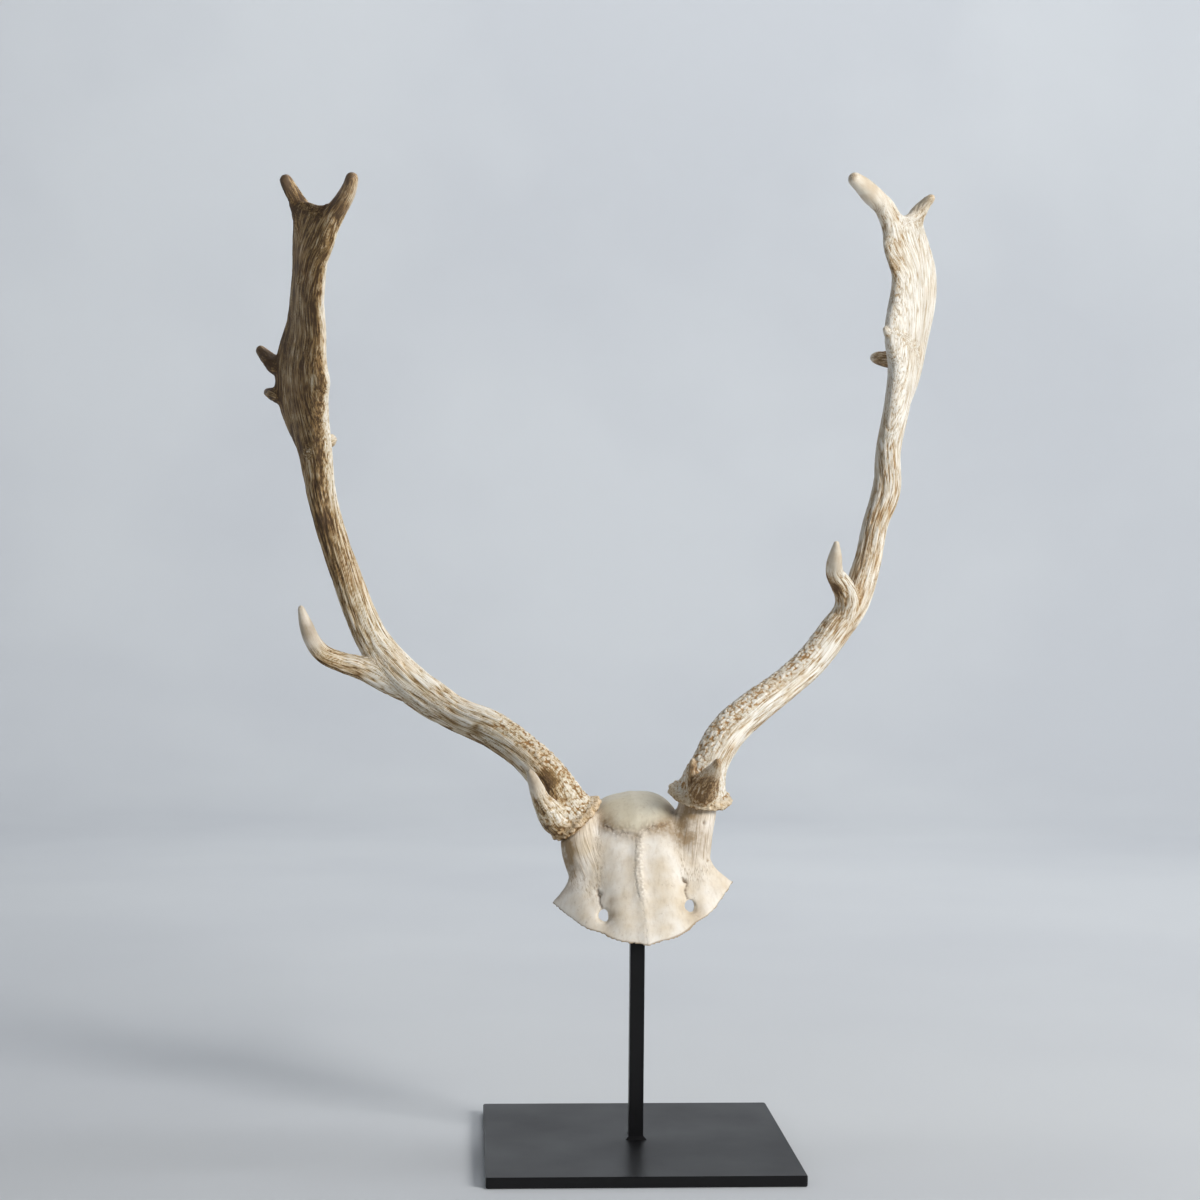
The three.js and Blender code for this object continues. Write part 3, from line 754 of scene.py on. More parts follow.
def carve_antler(piece, antler, main, tines, finish):
    """Blends the forks, then carves and marks one antler's skin."""
    carving = Carving(piece)
    carving.even_out(FRESH_ROUNDS)
    place, over = main.local(carving.points)
    tine_place, nearest, tine_overs = on_nearest(tines.values(), carving.points, TINE_REACH)
    bare_from, bare_by = np.array([BARE.get(name, BARE_SPUR) for name in tines])[nearest].T
    lengths = np.array([limb.length for limb in tines.values()])
    fork = ease(-FORK_BLEND, FORK_BLEND, over - tine_overs.min(axis=0))
    bare = ease(bare_from, bare_by, tine_place[:, 2] / lengths[nearest]) * fork

    burr = antler["burr"]
    half = BURR_THICKNESS / 2
    up, reach = on_burr(carving.points, burr)
    crease = BURR_CREASE["fill"] * gauss(np.hypot(over, up - half), BURR_CREASE["reach"]) * (up > 0)
    for name, tine_over in zip(tines, tine_overs):
        kind = SLIT if name.startswith("brow") else CROTCH
        crease = np.maximum(crease, kind["fill"] * gauss(np.hypot(over, tine_over), kind["reach"]))
    carving.fill(crease, FILL_ROUNDS)
    carving.even_out(FILLED_ROUNDS)

    palm_start = antler["palm"] / (len(antler["main"]) - 1)
    palm_start = main.along[int(palm_start * (len(main.along) - 1))]
    upward = carving.normals()[:, 2]
    height, land, beaded = main_marks(place, upward, palm_start, antler, finish)
    tine_height, tine_land = tine_marks(tine_place, bare, antler["seed"] + 31, finish)
    height += (tine_height - height) * fork
    land += (tine_land - land) * fork
    beaded *= 1 - TINE["hides_beads"] * fork

    up, reach = on_burr(carving.points, burr)
    rim = ease(burr["radius"] - RIM["from"], burr["radius"] - RIM["full"], reach)
    rim *= 1 - ease(half, half + RIM["above"], np.abs(up))
    knob = knots_of(carving.points, RIM["knob_size"], antler["seed"] + 20)
    height += rim * (finish.knob_height / MM * (knob - RIM["knob_middle"]) - height)
    land += rim * (0.1 + 1.1 * knob - land)
    beaded += rim * (RIM["beaded"] - beaded)
    carving.raise_by(height)

    stain = antler_stain(carving, antler, place[:, 2], palm_start, fork, bare) - CLEAN_RIM * rim
    carving.store()
    carving.mark(main_grain=place, tine_grain=tine_place, fork=fork, bare=bare)
    carving.mark(land=land, beaded=beaded, collar=rim, stain=stain)


def build_antler(antler, finish):
    side = antler["side"]
    main = Limb(antler["main"])
    tines = {name: Limb(stations) for name, stations in antler["tines"].items()}
    mesh = bmesh.new()
    for limb in (main, *tines.values(), Limb(antler["web"])):
        limb.add_to(mesh)
    burr = antler["burr"]
    clip(mesh, burr["centre"], -Vector(burr["axis"]).normalized())
    merge_into(mesh, burr_disc(burr, finish.knob_height / MM / 2))
    piece = new_piece(f"antler_{side}", mesh)
    skin_over(piece, finish.voxel / MM)
    bake_modifiers(piece)
    carve_antler(piece, antler, main, tines, finish)
    give_material(piece, antler_material(f"{side}_antler", finish))
    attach(piece, "root")
    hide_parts(*(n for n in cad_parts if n.startswith(f"antler_{side}_")))


# Noise of the antlers' skin: per millimetre across, through and along a limb, or per metre.
STREAKS = (0.62, 0.62, 0.022)
FIBRES = (1.5, 1.5, 0.06)
GRANULES = 460
PATCHES = 75
CLOUDS = 26
# What the lightness of the skin is made of, and its value at each of the four colours.
WEAR = {"land": 0.4, "streaks": 0.3, "granules": 0.4, "beads": 0.48, "least_on_beads": 0.34}
WEAR_STOPS = (0.08, 0.32, 0.54, 0.8)


def antler_material(name, finish):
    """Cream lands over brown furrows, streaked along each limb and polished at the tips."""
    look = Finish(name)
    fork, bare, land, beaded, stain = map(look.number, ("fork", "bare", "land", "beaded", "stain"))
    place = look.place()

    def along_limbs(scale):
        on_beam = look.noise(look.scaled(look.vector("main_grain"), scale), detail=3)
        on_tine = look.noise(look.scaled(look.vector("tine_grain"), scale), detail=3)
        return look.blend(fork, on_beam, on_tine)

    line = look.spread(look.size(look.minus(along_limbs(STREAKS), 0.5)), 0, 0.055)
    fibre = look.spread(along_limbs(FIBRES), 0.3, 0.7)
    granule = look.times(look.spread(look.cells(place, GRANULES), 0.5, 0.8), beaded)
    streaks = look.times(look.plus(line, fibre), WEAR["streaks"])
    streaks = look.blend(look.times(beaded, 0.65), streaks, WEAR["beads"])
    wear_and_shade = look.plus(look.times(land, WEAR["land"]), streaks)
    wear_and_shade = look.minus(wear_and_shade, look.times(granule, WEAR["granules"]))
    patch = look.noise(place, scale=PATCHES, detail=4)
    # Stains and painted shade brown the skin here, which also darkens it towards the ramp's furrow
    # colours.
    wear_and_shade = look.minus(wear_and_shade, look.times(stain, look.spread(patch, 0.32, 0.68, 0.35, 0.65)))
    wear_and_shade = look.larger(wear_and_shade, look.times(beaded, WEAR["least_on_beads"]))
    shades = (finish.groove_colour, finish.brown, finish.cream, finish.pale)
    colour = look.ramp(wear_and_shade, list(zip(WEAR_STOPS, shades)))
    cloud = look.noise(place, scale=CLOUDS, detail=5, roughness=0.6)
    golden = look.larger(look.spread(cloud, 0.5, 0.7, 0, 0.45), look.times(granule, 0.7))
    golden = look.larger(golden, look.times(look.number("collar"), 0.6))
    colour = look.tint(golden, colour, finish.gold, mode="MULTIPLY")
    tip = look.tint(look.spread(patch, 0.4, 0.66), finish.tip_colour, finish.tip_shade)
    clean = look.times(bare, look.spread(stain, 0.2, 0.8, 0.85, 0.1))
    colour = look.tint(clean, colour, tip)
    grain = look.plus(look.times(line, 0.5), look.times(fibre, 0.35))
    grain = look.minus(grain, look.times(granule, 0.65))
    normal = look.bump(grain, 0.8, look.spread(bare, 0, 1, 0.9, 0.15))
    rough = look.spread(bare, 0, 1, 0.66, 0.44)
    return look.surface(Base_Color=colour, Roughness=rough, Normal=normal)


# ---------------------------------------------------------------- skull cap

MIDLINE = {"z": (0, 28, 50, 60, 70, 79), "x": (-2.7, -2.2, -3.3, -2.5, -0.9, 0.5)}
CORONAL = {
    "x": (-34, -25, -22, -18, -14, -7, 0.5, 3.5, 8, 13, 21, 29, 36),
    "z": (101, 95, 91, 87.5, 83, 81, 79, 81.5, 82.5, 83.5, 86, 91, 96),
}
# Grooves above each foramen, as points (x, z) in the cap's frame.
CHANNELS = [
    [(-30.4, 47), (-29.5, 44), (-30.1, 38), (-28.6, 32)],
    [(26.6, 48.5), (29.2, 44.7), (26.9, 39.2), (28, 33.7)],
]
# Small pits, as [x, z, radius, depth].
PITS = [[-29.9, 44.2, 1.5, 3.0], [27.6, 46.5, 1.2, 2.0], [45.9, 83.7, 1.1, 1.2]]
# Brown stains and painted shade, as [x, z, radius, strength]. The spot at (30, 77) is partly stain and
# partly the right burr's painted shadow on its pedicle; those down the left pedicle's outer side (x -46
# to -56) and at (20, 84) and (32, 90) by the coronal suture are partly stain and partly painted shade.
BONE_STAINS_AND_SHADE = [
    [-22.5, 37, 3.5, 0.55], [-23, 27, 4.5, 0.7], [-26.5, 20, 4, 0.4], [23.5, 27.6, 2.5, 0.8],
    [29.5, 18.7, 5, 0.4], [20, 84, 7, 1.0], [30, 77, 8, 1.1], [32, 90, 7, 1.0], [39, 78, 9, 0.6],
    [40, 66, 9, 0.5], [12, 80, 5, 0.6], [0, 77, 5, 0.3], [-18, 92, 7, 0.8], [-10, 85, 5, 0.5],
    [-48, 85, 6.5, 1.6], [-47, 74, 6, 1.6], [-46, 63, 5.5, 1.3], [-49, 54, 5, 0.8], [-56, 50, 5, 0.6],
    [48, 40, 7, 0.3], [36, 24, 6, 0.5], [10, 60, 7, 0.25], [-12, 62, 10, 0.2], [40, 92, 8, 0.7],
]


# Waves in the bone and its seams, as (height, size, seed).
BONE_WAVES = ((0.4, 17, 1.1), (0.12, 5, 7.7))
MIDLINE_WAVES = ((0.8, 6, 3.3), (0.3, 2.6, 8.1))
CORONAL_WAVES = ((1.3, 5.2, 5.7), (0.5, 2.5, 2.9))
CRACK_WAVES = ((0.6, 1.6, 4.4),)
# The seams' grooves: their widths, their depth and where they end.
MIDLINE_GROOVE = {"width": 0.7, "depth": 0.25, "deeper": 0.35, "ends": (80, 84)}
CORONAL_GROOVE = {"width": 0.9, "ends": (30, 38), "stain": 0.4, "stain_reach": 5}
DOME_KEEL = {"height": 0.5, "x": 0.5, "width": 4, "sets_in": (84, 92)}
# Depths of the marks in the bone. The foramina have a shallow rim.
CRACK_DEPTH = 0.5
CRACK_WIDTH = 0.6
CRACK_VALLEY = {"depth": 0.5, "width": 3}
FORAMEN_RIM = {"depth": 0.9, "width": 1.6}
FIBRE = {"depth": 0.18, "size": 3.2, "width": 0.35, "along": 0.12, "stain": 0.25}
GRIT = {"height": 0.8, "size": 1.9, "middle": 0.4}
CREST = {"height": 0.45, "aside": 1.2, "width": 2.6}
CORONAL_BAND = {"above": 0.5, "width": 4.5, "grit": 0.8}
# The midline suture zigzags and has a crest from and up to these heights.
ZIGZAG = {"from": (28, 42), "to": (78, 83), "aside": 1.8}
# How wide the pedicles' roots and the seam between forehead and braincase are blended.
ROOT_REACH = 13
SEAM = {"reach": 7, "half_width": 36}
CAP_FILL = {"root": 0.95, "seam": 0.9, "rounds": 110}
CAP_SMOOTH = {"share": 0.6, "rounds": 12}
STEM_REACH = 40
STEM_SKIN = (1, 7)
# Sizes of what is cut with or cut off: the drill, the saw's block and the plate's spare length.
DRILL = 40
SAW_BLOCK = 400
SAW_WASTE = 4
PEDICLE_OVERLENGTH = 12
# Cells of the plate across and up, and the voxels of the cap before it's hollowed.
PLATE_CELLS = (110, 70)
SOLID_VOXEL = 1.2
# The sawn edge: how far from the cut it shows, and how unsteady the saw was.
SAWN_EDGE = (0.5, 1.1)
WOBBLE = {"depth": 0.8, "size": 13, "reach": (1, 9)}


def cap_pose():
    turn = Matrix.Rotation(-CAP_ROLL, 4, "Y") @ Matrix.Rotation(-CAP_LEAN, 4, "X")
    return Matrix.Translation(CAP_PLACE) @ turn


def forehead_half_width(z):
    rise = np.clip((WAIST["z"] - z) / (WAIST["z"] - FLARE["z"]), 0, 1)
    low = WAIST["half_width"] + (FLARE["half_width"] - WAIST["half_width"]) * rise ** FLARE["curve"]
    fall = np.clip((z - WAIST["z"]) / (FOREHEAD_LENGTH - WAIST["z"]), 0, 1)
    return low - (WAIST["half_width"] - CREST_HALF_WIDTH) * fall


def midline_offset(x, z):
    return x - np.interp(z, MIDLINE["z"], MIDLINE["x"])


def flare_bend(x):
    """How far the plate bends back at x, mostly by its cross curve and then at the eye sockets."""
    beyond = np.maximum(np.abs(x) - FLARE["bend_from"], 0)
    return FOREHEAD_CROSS_CURVE * x * x + FLARE["bend"] * beyond**2


def forehead_relief(x, z):
    """How far the forehead stands out in front of the bent plate."""
    reach = np.abs(x)
    valley = np.interp(z, VALLEY["z"], VALLEY["x"])
    low = ease(6, 30, z)
    fade = 1 - ease(60, 82, z)
    relief = RIDGE_HEIGHT * gauss(midline_offset(x, z), RIDGE_WIDTH) * (0.5 + 0.5 * ease(15, 45, z))
    relief += SWELLING["height"] * gauss(reach - SWELLING["x"], SWELLING["width"]) * low
    relief -= VALLEY["depth"] * gauss(reach - valley, VALLEY["width"]) * low * fade
    relief += BROW["height"] * gauss(reach - BROW["x"], BROW["width"]) * low * fade
    return relief


def forehead_plate():
    """The two frontal bones as one bent plate, in the cap's frame."""
    plate = bmesh.new()
    bmesh.ops.create_grid(plate, x_segments=PLATE_CELLS[0], y_segments=PLATE_CELLS[1], size=0.5)
    for vert in plate.verts:
        z = -SAW_WASTE + (FOREHEAD_LENGTH + SAW_WASTE) * (vert.co.y + 0.5)
        x = 2 * vert.co.x * float(forehead_half_width(z))
        vert.co = (x, flare_bend(x) - forehead_relief(x, z), z)
    walls = bmesh.ops.extrude_face_region(plate, geom=plate.faces[:])["geom"]
    back = [g for g in walls if isinstance(g, bmesh.types.BMVert)]
    for vert in back:
        vert.co.y = flare_bend(vert.co.x) + BONE_WALL
    return plate


def braincase(inset):
    """The level, squared-off egg of the braincase, in the cap's frame."""
    egg = bmesh.new()
    bmesh.ops.create_uvsphere(egg, u_segments=64, v_segments=40, radius=1)
    power = BRAINCASE["squareness"]
    for vert in egg.verts:
        vert.co /= sum(abs(part) ** power for part in vert.co) ** (1 / power)
    half = [size - inset for size in BRAINCASE["half"]]
    pose = Matrix.Translation((0, BRAINCASE["y"], BRAINCASE["z"])) @ Matrix.Rotation(CAP_LEAN, 4, "X")
    bmesh.ops.scale(egg, vec=half, verts=egg.verts)
    bmesh.ops.transform(egg, matrix=pose, verts=egg.verts)
    return egg


def pedicle_limb(side, burr):
    """One pedicle's curve, its top and the direction it leaves in, in the cap's frame."""
    into_cap = cap_pose().inverted()
    top = into_cap @ Vector(burr["centre"])
    axis = (into_cap.to_3x3() @ Vector(burr["axis"])).normalized()
    end = top + PEDICLE_OVERLENGTH * axis
    stations = [[side * x, *rest] for x, *rest in PEDICLE_STATIONS]
    stations += [[*top, PEDICLE_TOP_RADIUS], [*end, PEDICLE_TOP_RADIUS]]
    return Limb(stations), top, axis


def saw_block():
    """All that the saw took off, in the cap's frame."""
    block = bmesh.new()
    normal = Vector((0, math.cos(SAW_ANGLE), -math.sin(SAW_ANGLE)))
    bmesh.ops.create_cube(block, size=SAW_BLOCK)
    turn = Vector((0, 0, 1)).rotation_difference(normal).to_matrix().to_4x4()
    shift = Matrix.Translation(Vector((0, -RIDGE_HEIGHT, 0)) + normal * SAW_BLOCK / 2)
    bmesh.ops.transform(block, matrix=shift @ turn, verts=block.verts)
    return block


def foramen_drill(x, z):
    """A level drill for one hole above an eye socket, worn a little out of round."""
    drill = bmesh.new()
    radius = FORAMEN["radius"]
    bmesh.ops.create_cone(drill, cap_ends=True, segments=24, radius1=radius, radius2=radius, depth=DRILL)
    for vert in drill.verts:
        angle = math.atan2(vert.co.y, vert.co.x)
        three, two = FORAMEN["wear"]
        vert.co.xy *= 1 + three * math.cos(3 * angle + x) + two * math.cos(2 * angle - x)
    level = Matrix.Rotation(CAP_LEAN + math.pi / 2, 4, "X")
    pose = Matrix.Translation((x, FOREHEAD_CROSS_CURVE * x * x, z)) @ level
    bmesh.ops.transform(drill, matrix=pose, verts=drill.verts)
    return drill


def path_distance(spots, path):
    """Distance from points (x, z) to a line through the path's points."""
    nearest = np.full(len(spots), 1e9)
    for start, end in zip(np.array(path[:-1], float), np.array(path[1:], float)):
        run = end - start
        share = np.clip((spots - start) @ run / (run @ run), 0, 1)
        foot = start + share[:, None] * run
        nearest = np.minimum(nearest, np.linalg.norm(spots - foot, axis=1))
    return nearest


def waves(place, layers):
    """Noise in layers of (height, size, seed)."""
    return sum(height * wander(place, size, seed) for height, size, seed in layers)


def midline_marks(local, x, z):
    """The midline suture's offset at each point, how strongly it zigzags there, and its crest."""
    upper = ease(*ZIGZAG["from"], z) * (1 - ease(*ZIGZAG["to"], z))
    up_line = local * (0, 0, 1)
    beside = midline_offset(x, z) - waves(up_line, MIDLINE_WAVES) * (0.35 + 0.65 * upper)
    crest = gauss(beside - CREST["aside"], CREST["width"]) * upper
    return beside + ZIGZAG["aside"] * upper, upper, crest


def hollows(local, spots):
    """Depths of the cracks, pits and foramen rims, and how dark their floors are."""
    depth = np.zeros(len(spots))
    cracks = np.zeros(len(spots))
    pits = np.zeros(len(spots))
    for path in CHANNELS:
        distance = path_distance(spots, path)
        depth += CRACK_VALLEY["depth"] * gauss(distance, CRACK_VALLEY["width"])
        cracks = np.maximum(cracks, gauss(distance + waves(local, CRACK_WAVES), CRACK_WIDTH))
    for *centre, radius, pit_depth in PITS:
        pit = gauss(np.linalg.norm(spots - centre, axis=1), radius)
        pits = np.maximum(pits, pit)
        depth += pit_depth * pit
    for side in (-1, 1):
        around = np.linalg.norm(spots - (side * FORAMEN["x"], FORAMEN["z"]), axis=1)
        depth += FORAMEN_RIM["depth"] * gauss(around - FORAMEN["radius"], FORAMEN_RIM["width"])
    return depth + CRACK_DEPTH * cracks, np.maximum(cracks, pits)


def carve_cap(piece, pedicles, finish):
    """Blends, carves and marks the skull cap's skin."""
    carving = Carving(piece)
    carving.even_out(FRESH_ROUNDS)
    into_cap = np.array(cap_pose().inverted())
    local = carving.points @ into_cap[:3, :3].T + into_cap[:3, 3]
    x, y, z = local.T
    spots = local[:, [0, 2]]
    front = ease(-0.05, 0.35, -(carving.normals() @ into_cap[:3, :3].T)[:, 1])
    plate_over = np.abs(y - flare_bend(x) + forehead_relief(x, z))
    stem_place, _, stem_overs = on_nearest(pedicles, local, STEM_REACH)
    stem_over = stem_overs.min(axis=0)
    stem = 1 - ease(*STEM_SKIN, stem_over)
    root = gauss(stem_over, ROOT_REACH) * gauss(plate_over, ROOT_REACH)
    seam = gauss(z - FOREHEAD_LENGTH, SEAM["reach"]) * front * (np.abs(x) < SEAM["half_width"])
    fill = CAP_FILL["root"] * root + CAP_FILL["seam"] * seam
    carving.fill(np.minimum(fill, CAP_FILL["root"]), CAP_FILL["rounds"])
    carving.smooth(CAP_SMOOTH["share"] * np.minimum(root + seam, 1), CAP_SMOOTH["rounds"])

    midline, upper, crest = midline_marks(local, x, z)
    midline_groove = gauss(midline, MIDLINE_GROOVE["width"])
    midline_groove *= MIDLINE_GROOVE["depth"] + MIDLINE_GROOVE["deeper"] * upper
    midline_groove *= 1 - ease(*MIDLINE_GROOVE["ends"], z)
    side_line = local * (1, 0, 0)
    above = z - np.interp(x, CORONAL["x"], CORONAL["z"])
    coronal = above - waves(side_line, CORONAL_WAVES)
    within = (1 - ease(*CORONAL_GROOVE["ends"], np.abs(x))) * (1 - stem)
    coronal_groove = gauss(coronal, CORONAL_GROOVE["width"]) * within
    band = gauss(coronal - CORONAL_BAND["above"], CORONAL_BAND["width"]) * within
    gritty = np.maximum(CORONAL_BAND["grit"] * band, crest)
    grit = bumps(local, GRIT["size"], 6.2)
    fibre = grooves(drawn_out(stem_place, FIBRE["along"]), FIBRE["size"], FIBRE["width"], 9.4)
    hollow, floor = hollows(local, spots)

    height = waves(local, BONE_WAVES)
    height += front * (CREST["height"] * crest + GRIT["height"] * gritty * (grit - GRIT["middle"]))
    height -= front * finish.suture_depth / MM * (coronal_groove + midline_groove)
    height -= front * hollow + FIBRE["depth"] * stem * fibre
    keel = gauss(x - DOME_KEEL["x"], DOME_KEEL["width"]) * ease(*DOME_KEEL["sets_in"], z)
    height += DOME_KEEL["height"] * keel

    saw_normal = np.array([0, math.cos(SAW_ANGLE), -math.sin(SAW_ANGLE)])
    to_saw = -(local - (0, -RIDGE_HEIGHT, 0)) @ saw_normal
    sawn = 1 - ease(*SAWN_EDGE, to_saw)
    carving.raise_by(height * (1 - sawn))
    wobble = WOBBLE["depth"] * wander(side_line, WOBBLE["size"], 2.2)
    wobble *= 1 - ease(*WOBBLE["reach"], to_saw)
    carving.points -= np.abs(wobble)[:, None] * (np.array(cap_pose())[:3, :3] @ saw_normal)

    stain = CORONAL_GROOVE["stain"] * gauss(above, CORONAL_GROOVE["stain_reach"]) * within
    stain += FIBRE["stain"] * stem * fibre
    # The listed spots add stains and painted shade.
    for *centre, radius, strength in BONE_STAINS_AND_SHADE:
        stain += strength * gauss(np.linalg.norm(spots - centre, axis=1), radius)
    # Between the bumps of the gritty bands the colour darkens as painted shade.
    lines = np.maximum(floor, 0.45 * gritty * (1 - grit))
    carving.store()
    carving.mark(stain=stain * np.maximum(front, 0.9 * stem), lines=lines * front, sawn=sawn)
    carving.mark(midline=midline, coronal=coronal, coronal_depth=front * within)
    carving.mark(midline_depth=front * (0.45 + 0.15 * upper) * (1 - ease(*ZIGZAG["to"], z)))
    carving.mark(crest=front * crest * (0.4 + 0.6 * grit), dome=ease(-1, 5, above) * (1 - stem))
    carving.mark(stem=stem, stem_grain=stem_place)


def build_skull_cap(finish):
    shell = bmesh.new()
    pedicles = []
    for side, antler in ((-1, LEFT_ANTLER), (1, RIGHT_ANTLER)):
        limb, top, axis = pedicle_limb(side, antler["burr"])
        stump = bmesh.new()
        limb.add_to(stump)
        clip(stump, top - (BURR_THICKNESS / 2 - 1) * axis, axis)
        merge_into(shell, stump)
        pedicles.append(limb)
    merge_into(shell, forehead_plate())
    merge_into(shell, braincase(0))
    bmesh.ops.transform(shell, matrix=cap_pose(), verts=shell.verts)
    piece = new_piece("skull_cap", shell)
    skin_over(piece, SOLID_VOXEL)
    cutters = []
    drills = [foramen_drill(side * FORAMEN["x"], FORAMEN["z"]) for side in (-1, 1)]
    for shape in (braincase(BONE_WALL), saw_block(), *drills):
        bmesh.ops.transform(shape, matrix=cap_pose(), verts=shape.verts)
        cutters.append(new_piece("cutter", shape))
        cut_away(piece, cutters[-1])
    skin_over(piece, finish.voxel / MM)
    bake_modifiers(piece)
    for cutter in cutters:
        bpy.data.objects.remove(cutter)
    carve_cap(piece, pedicles, finish)
    give_material(piece, bone_material(finish))
    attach(piece, "root")
    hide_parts(*(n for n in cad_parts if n.startswith("skull_")))


# Noise of the bone, per metre, and along a pedicle per millimetre.
BONE_NOISE = {"cloud": 55, "broken": 140, "faint": 170, "fleck": 420, "jag": 430}
STRANDS = (420, 420, 55)
STEM_STREAKS = (1.1, 1.1, 0.06)
# How far the seams jump from side to side, in millimetres.
JAGGEDNESS = {"midline": 4.2, "coronal": 6.5}


def bone_material(finish):
    """Smooth cream bone, greyer on the dome, with brown sutures, stains, painted shade and a sawn edge.
    """
    look = Finish("skull_bone")
    place = look.place()
    cloud = look.noise(place, scale=BONE_NOISE["cloud"], detail=4)
    fleck = look.noise(place, scale=BONE_NOISE["fleck"], detail=3, roughness=0.65)
    colour = look.tint(look.spread(cloud, 0.35, 0.65), finish.cream, finish.pale)
    colour = look.tint(look.times(look.number("dome"), 0.75), colour, finish.dome_colour)
    streak = look.noise(look.scaled(look.vector("stem_grain"), STEM_STREAKS), detail=3)
    streak = look.times(look.spread(streak, 0.5, 0.72), look.number("stem"))
    colour = look.tint(look.times(streak, 0.75), colour, finish.stain_colour)
    strand = look.noise(look.scaled(place, STRANDS), detail=3, roughness=0.6)
    colour = look.tint(look.spread(strand, 0.48, 0.72, 0, 0.18), colour, finish.stain_colour)
    colour = look.tint(look.times(look.number("crest"), 0.7), colour, finish.crest_colour)
    broken = look.noise(place, scale=BONE_NOISE["broken"], detail=5, roughness=0.65)
    # Stains and painted shade brown the bone here.
    stained = look.times(look.number("stain"), look.spread(broken, 0.3, 0.68, 0.2, 1), clamp=True)
    colour = look.tint(look.times(stained, 0.85), colour, finish.stain_colour)
    colour = look.tint(look.spread(fleck, 0.62, 0.75, 0, 0.28), colour, finish.stain_colour)
    jag = look.noise(place, scale=BONE_NOISE["jag"], detail=3, roughness=0.6)
    faint = look.spread(look.noise(place, scale=BONE_NOISE["faint"]), 0.35, 0.62, 0.25, 0.85)
    lines = look.number("lines")
    for seam, jaggedness in JAGGEDNESS.items():
        sway = look.times(look.minus(jag, 0.5), jaggedness)
        distance = look.size(look.plus(look.number(seam), sway))
        crack = look.times(look.spread(distance, 0.15, 0.65, 1, 0), look.number(seam + "_depth"))
        lines = look.larger(lines, look.times(crack, faint))
    colour = look.tint(look.times(lines, 0.75, clamp=True), colour, finish.line_colour)
    colour = look.tint(look.times(look.number("sawn"), 0.8), colour, finish.sawn_colour)
    grain = look.plus(look.times(fleck, 0.6), look.times(streak, 0.8))
    return look.surface(Base_Color=colour, Roughness=0.56, Normal=look.bump(grain, 0.35, 0.5))


# ---------------------------------------------------------------- stand

# Noise of the paint, per metre.
PEBBLES = 900
RUBS = 14


def paint_stand(finish):
    """Gives every node of the stand its satin black paint."""
    look = Finish("satin_black")
    place = look.place()
    pebble = look.noise(place, scale=PEBBLES)
    rub = look.noise(place, scale=RUBS, detail=5)
    colour = look.tint(look.spread(rub, 0.4, 0.7), finish.paint, finish.rubbed)
    rough = look.spread(rub, 0.3, 0.7, finish.roughness - 0.04, finish.roughness + 0.06)
    normal = look.bump(pebble, 0.03, 0.35)
    paint = look.surface(Base_Color=colour, Roughness=rough, Normal=normal, Specular_IOR_Level=0.22)
    for name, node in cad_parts.items():
        if name.startswith("stand_"):
            slot = node.material_slots[0]
            slot.link = "OBJECT"
            slot.material = paint


# ---------------------------------------------------------------- studio

CAMERA_PLACE = (-115.4, -1470.6, 366.9)
CAMERA_YAW = math.radians(3.45)
CAMERA_PITCH = math.radians(-0.155)
CAMERA_ROLL = math.radians(0.52)
SENSOR_WIDTH = 36
FAR_CLIP = 50
BOWL_RADIUS = 3.4
BOWL_CORNER = 1.2
BOWL_HEIGHT = 3.2
BOWL_STEPS = 12
BOWL_SIDES = 96
# Lights as place, size and colour. They aim at the object, or at the wall behind it.
OBJECT_MIDDLE = (0, 0.03, 0.35)
WALL_MIDDLE = (0, 3.2, 0.9)
WINDOW = ((1.85, -1.6, 1.3), 0.9, (1.0, 0.985, 0.96))
FILL = ((-1.8, -2.2, 1.3), 2.2, (0.93, 0.96, 1.0))
WALL_WASH = ((0.6, 0.9, 2.7), 2.0, (0.96, 0.98, 1.0))
AIR_COLOUR = (0.84, 0.89, 0.96, 1)


def build_camera(setup):
    ahead = Vector((
        math.sin(CAMERA_YAW) * math.cos(CAMERA_PITCH),
        math.cos(CAMERA_YAW) * math.cos(CAMERA_PITCH),
        math.sin(CAMERA_PITCH),
    ))
    level = Vector((math.cos(CAMERA_YAW), -math.sin(CAMERA_YAW), 0))
    upright = level.cross(ahead)
    right = level * math.cos(CAMERA_ROLL) + upright * math.sin(CAMERA_ROLL)
    top = upright * math.cos(CAMERA_ROLL) - level * math.sin(CAMERA_ROLL)
    pose = Matrix((right, top, -ahead)).transposed().to_4x4()
    lens = bpy.data.cameras.new("camera")
    lens.sensor_width = SENSOR_WIDTH
    lens.lens = setup.lens
    lens.clip_end = FAR_CLIP
    camera = bpy.data.objects.new("camera", lens)
    camera.matrix_world = Matrix.Translation(Vector(CAMERA_PLACE) * MM) @ pose
    bpy.context.scene.collection.objects.link(camera)
    bpy.context.scene.camera = camera


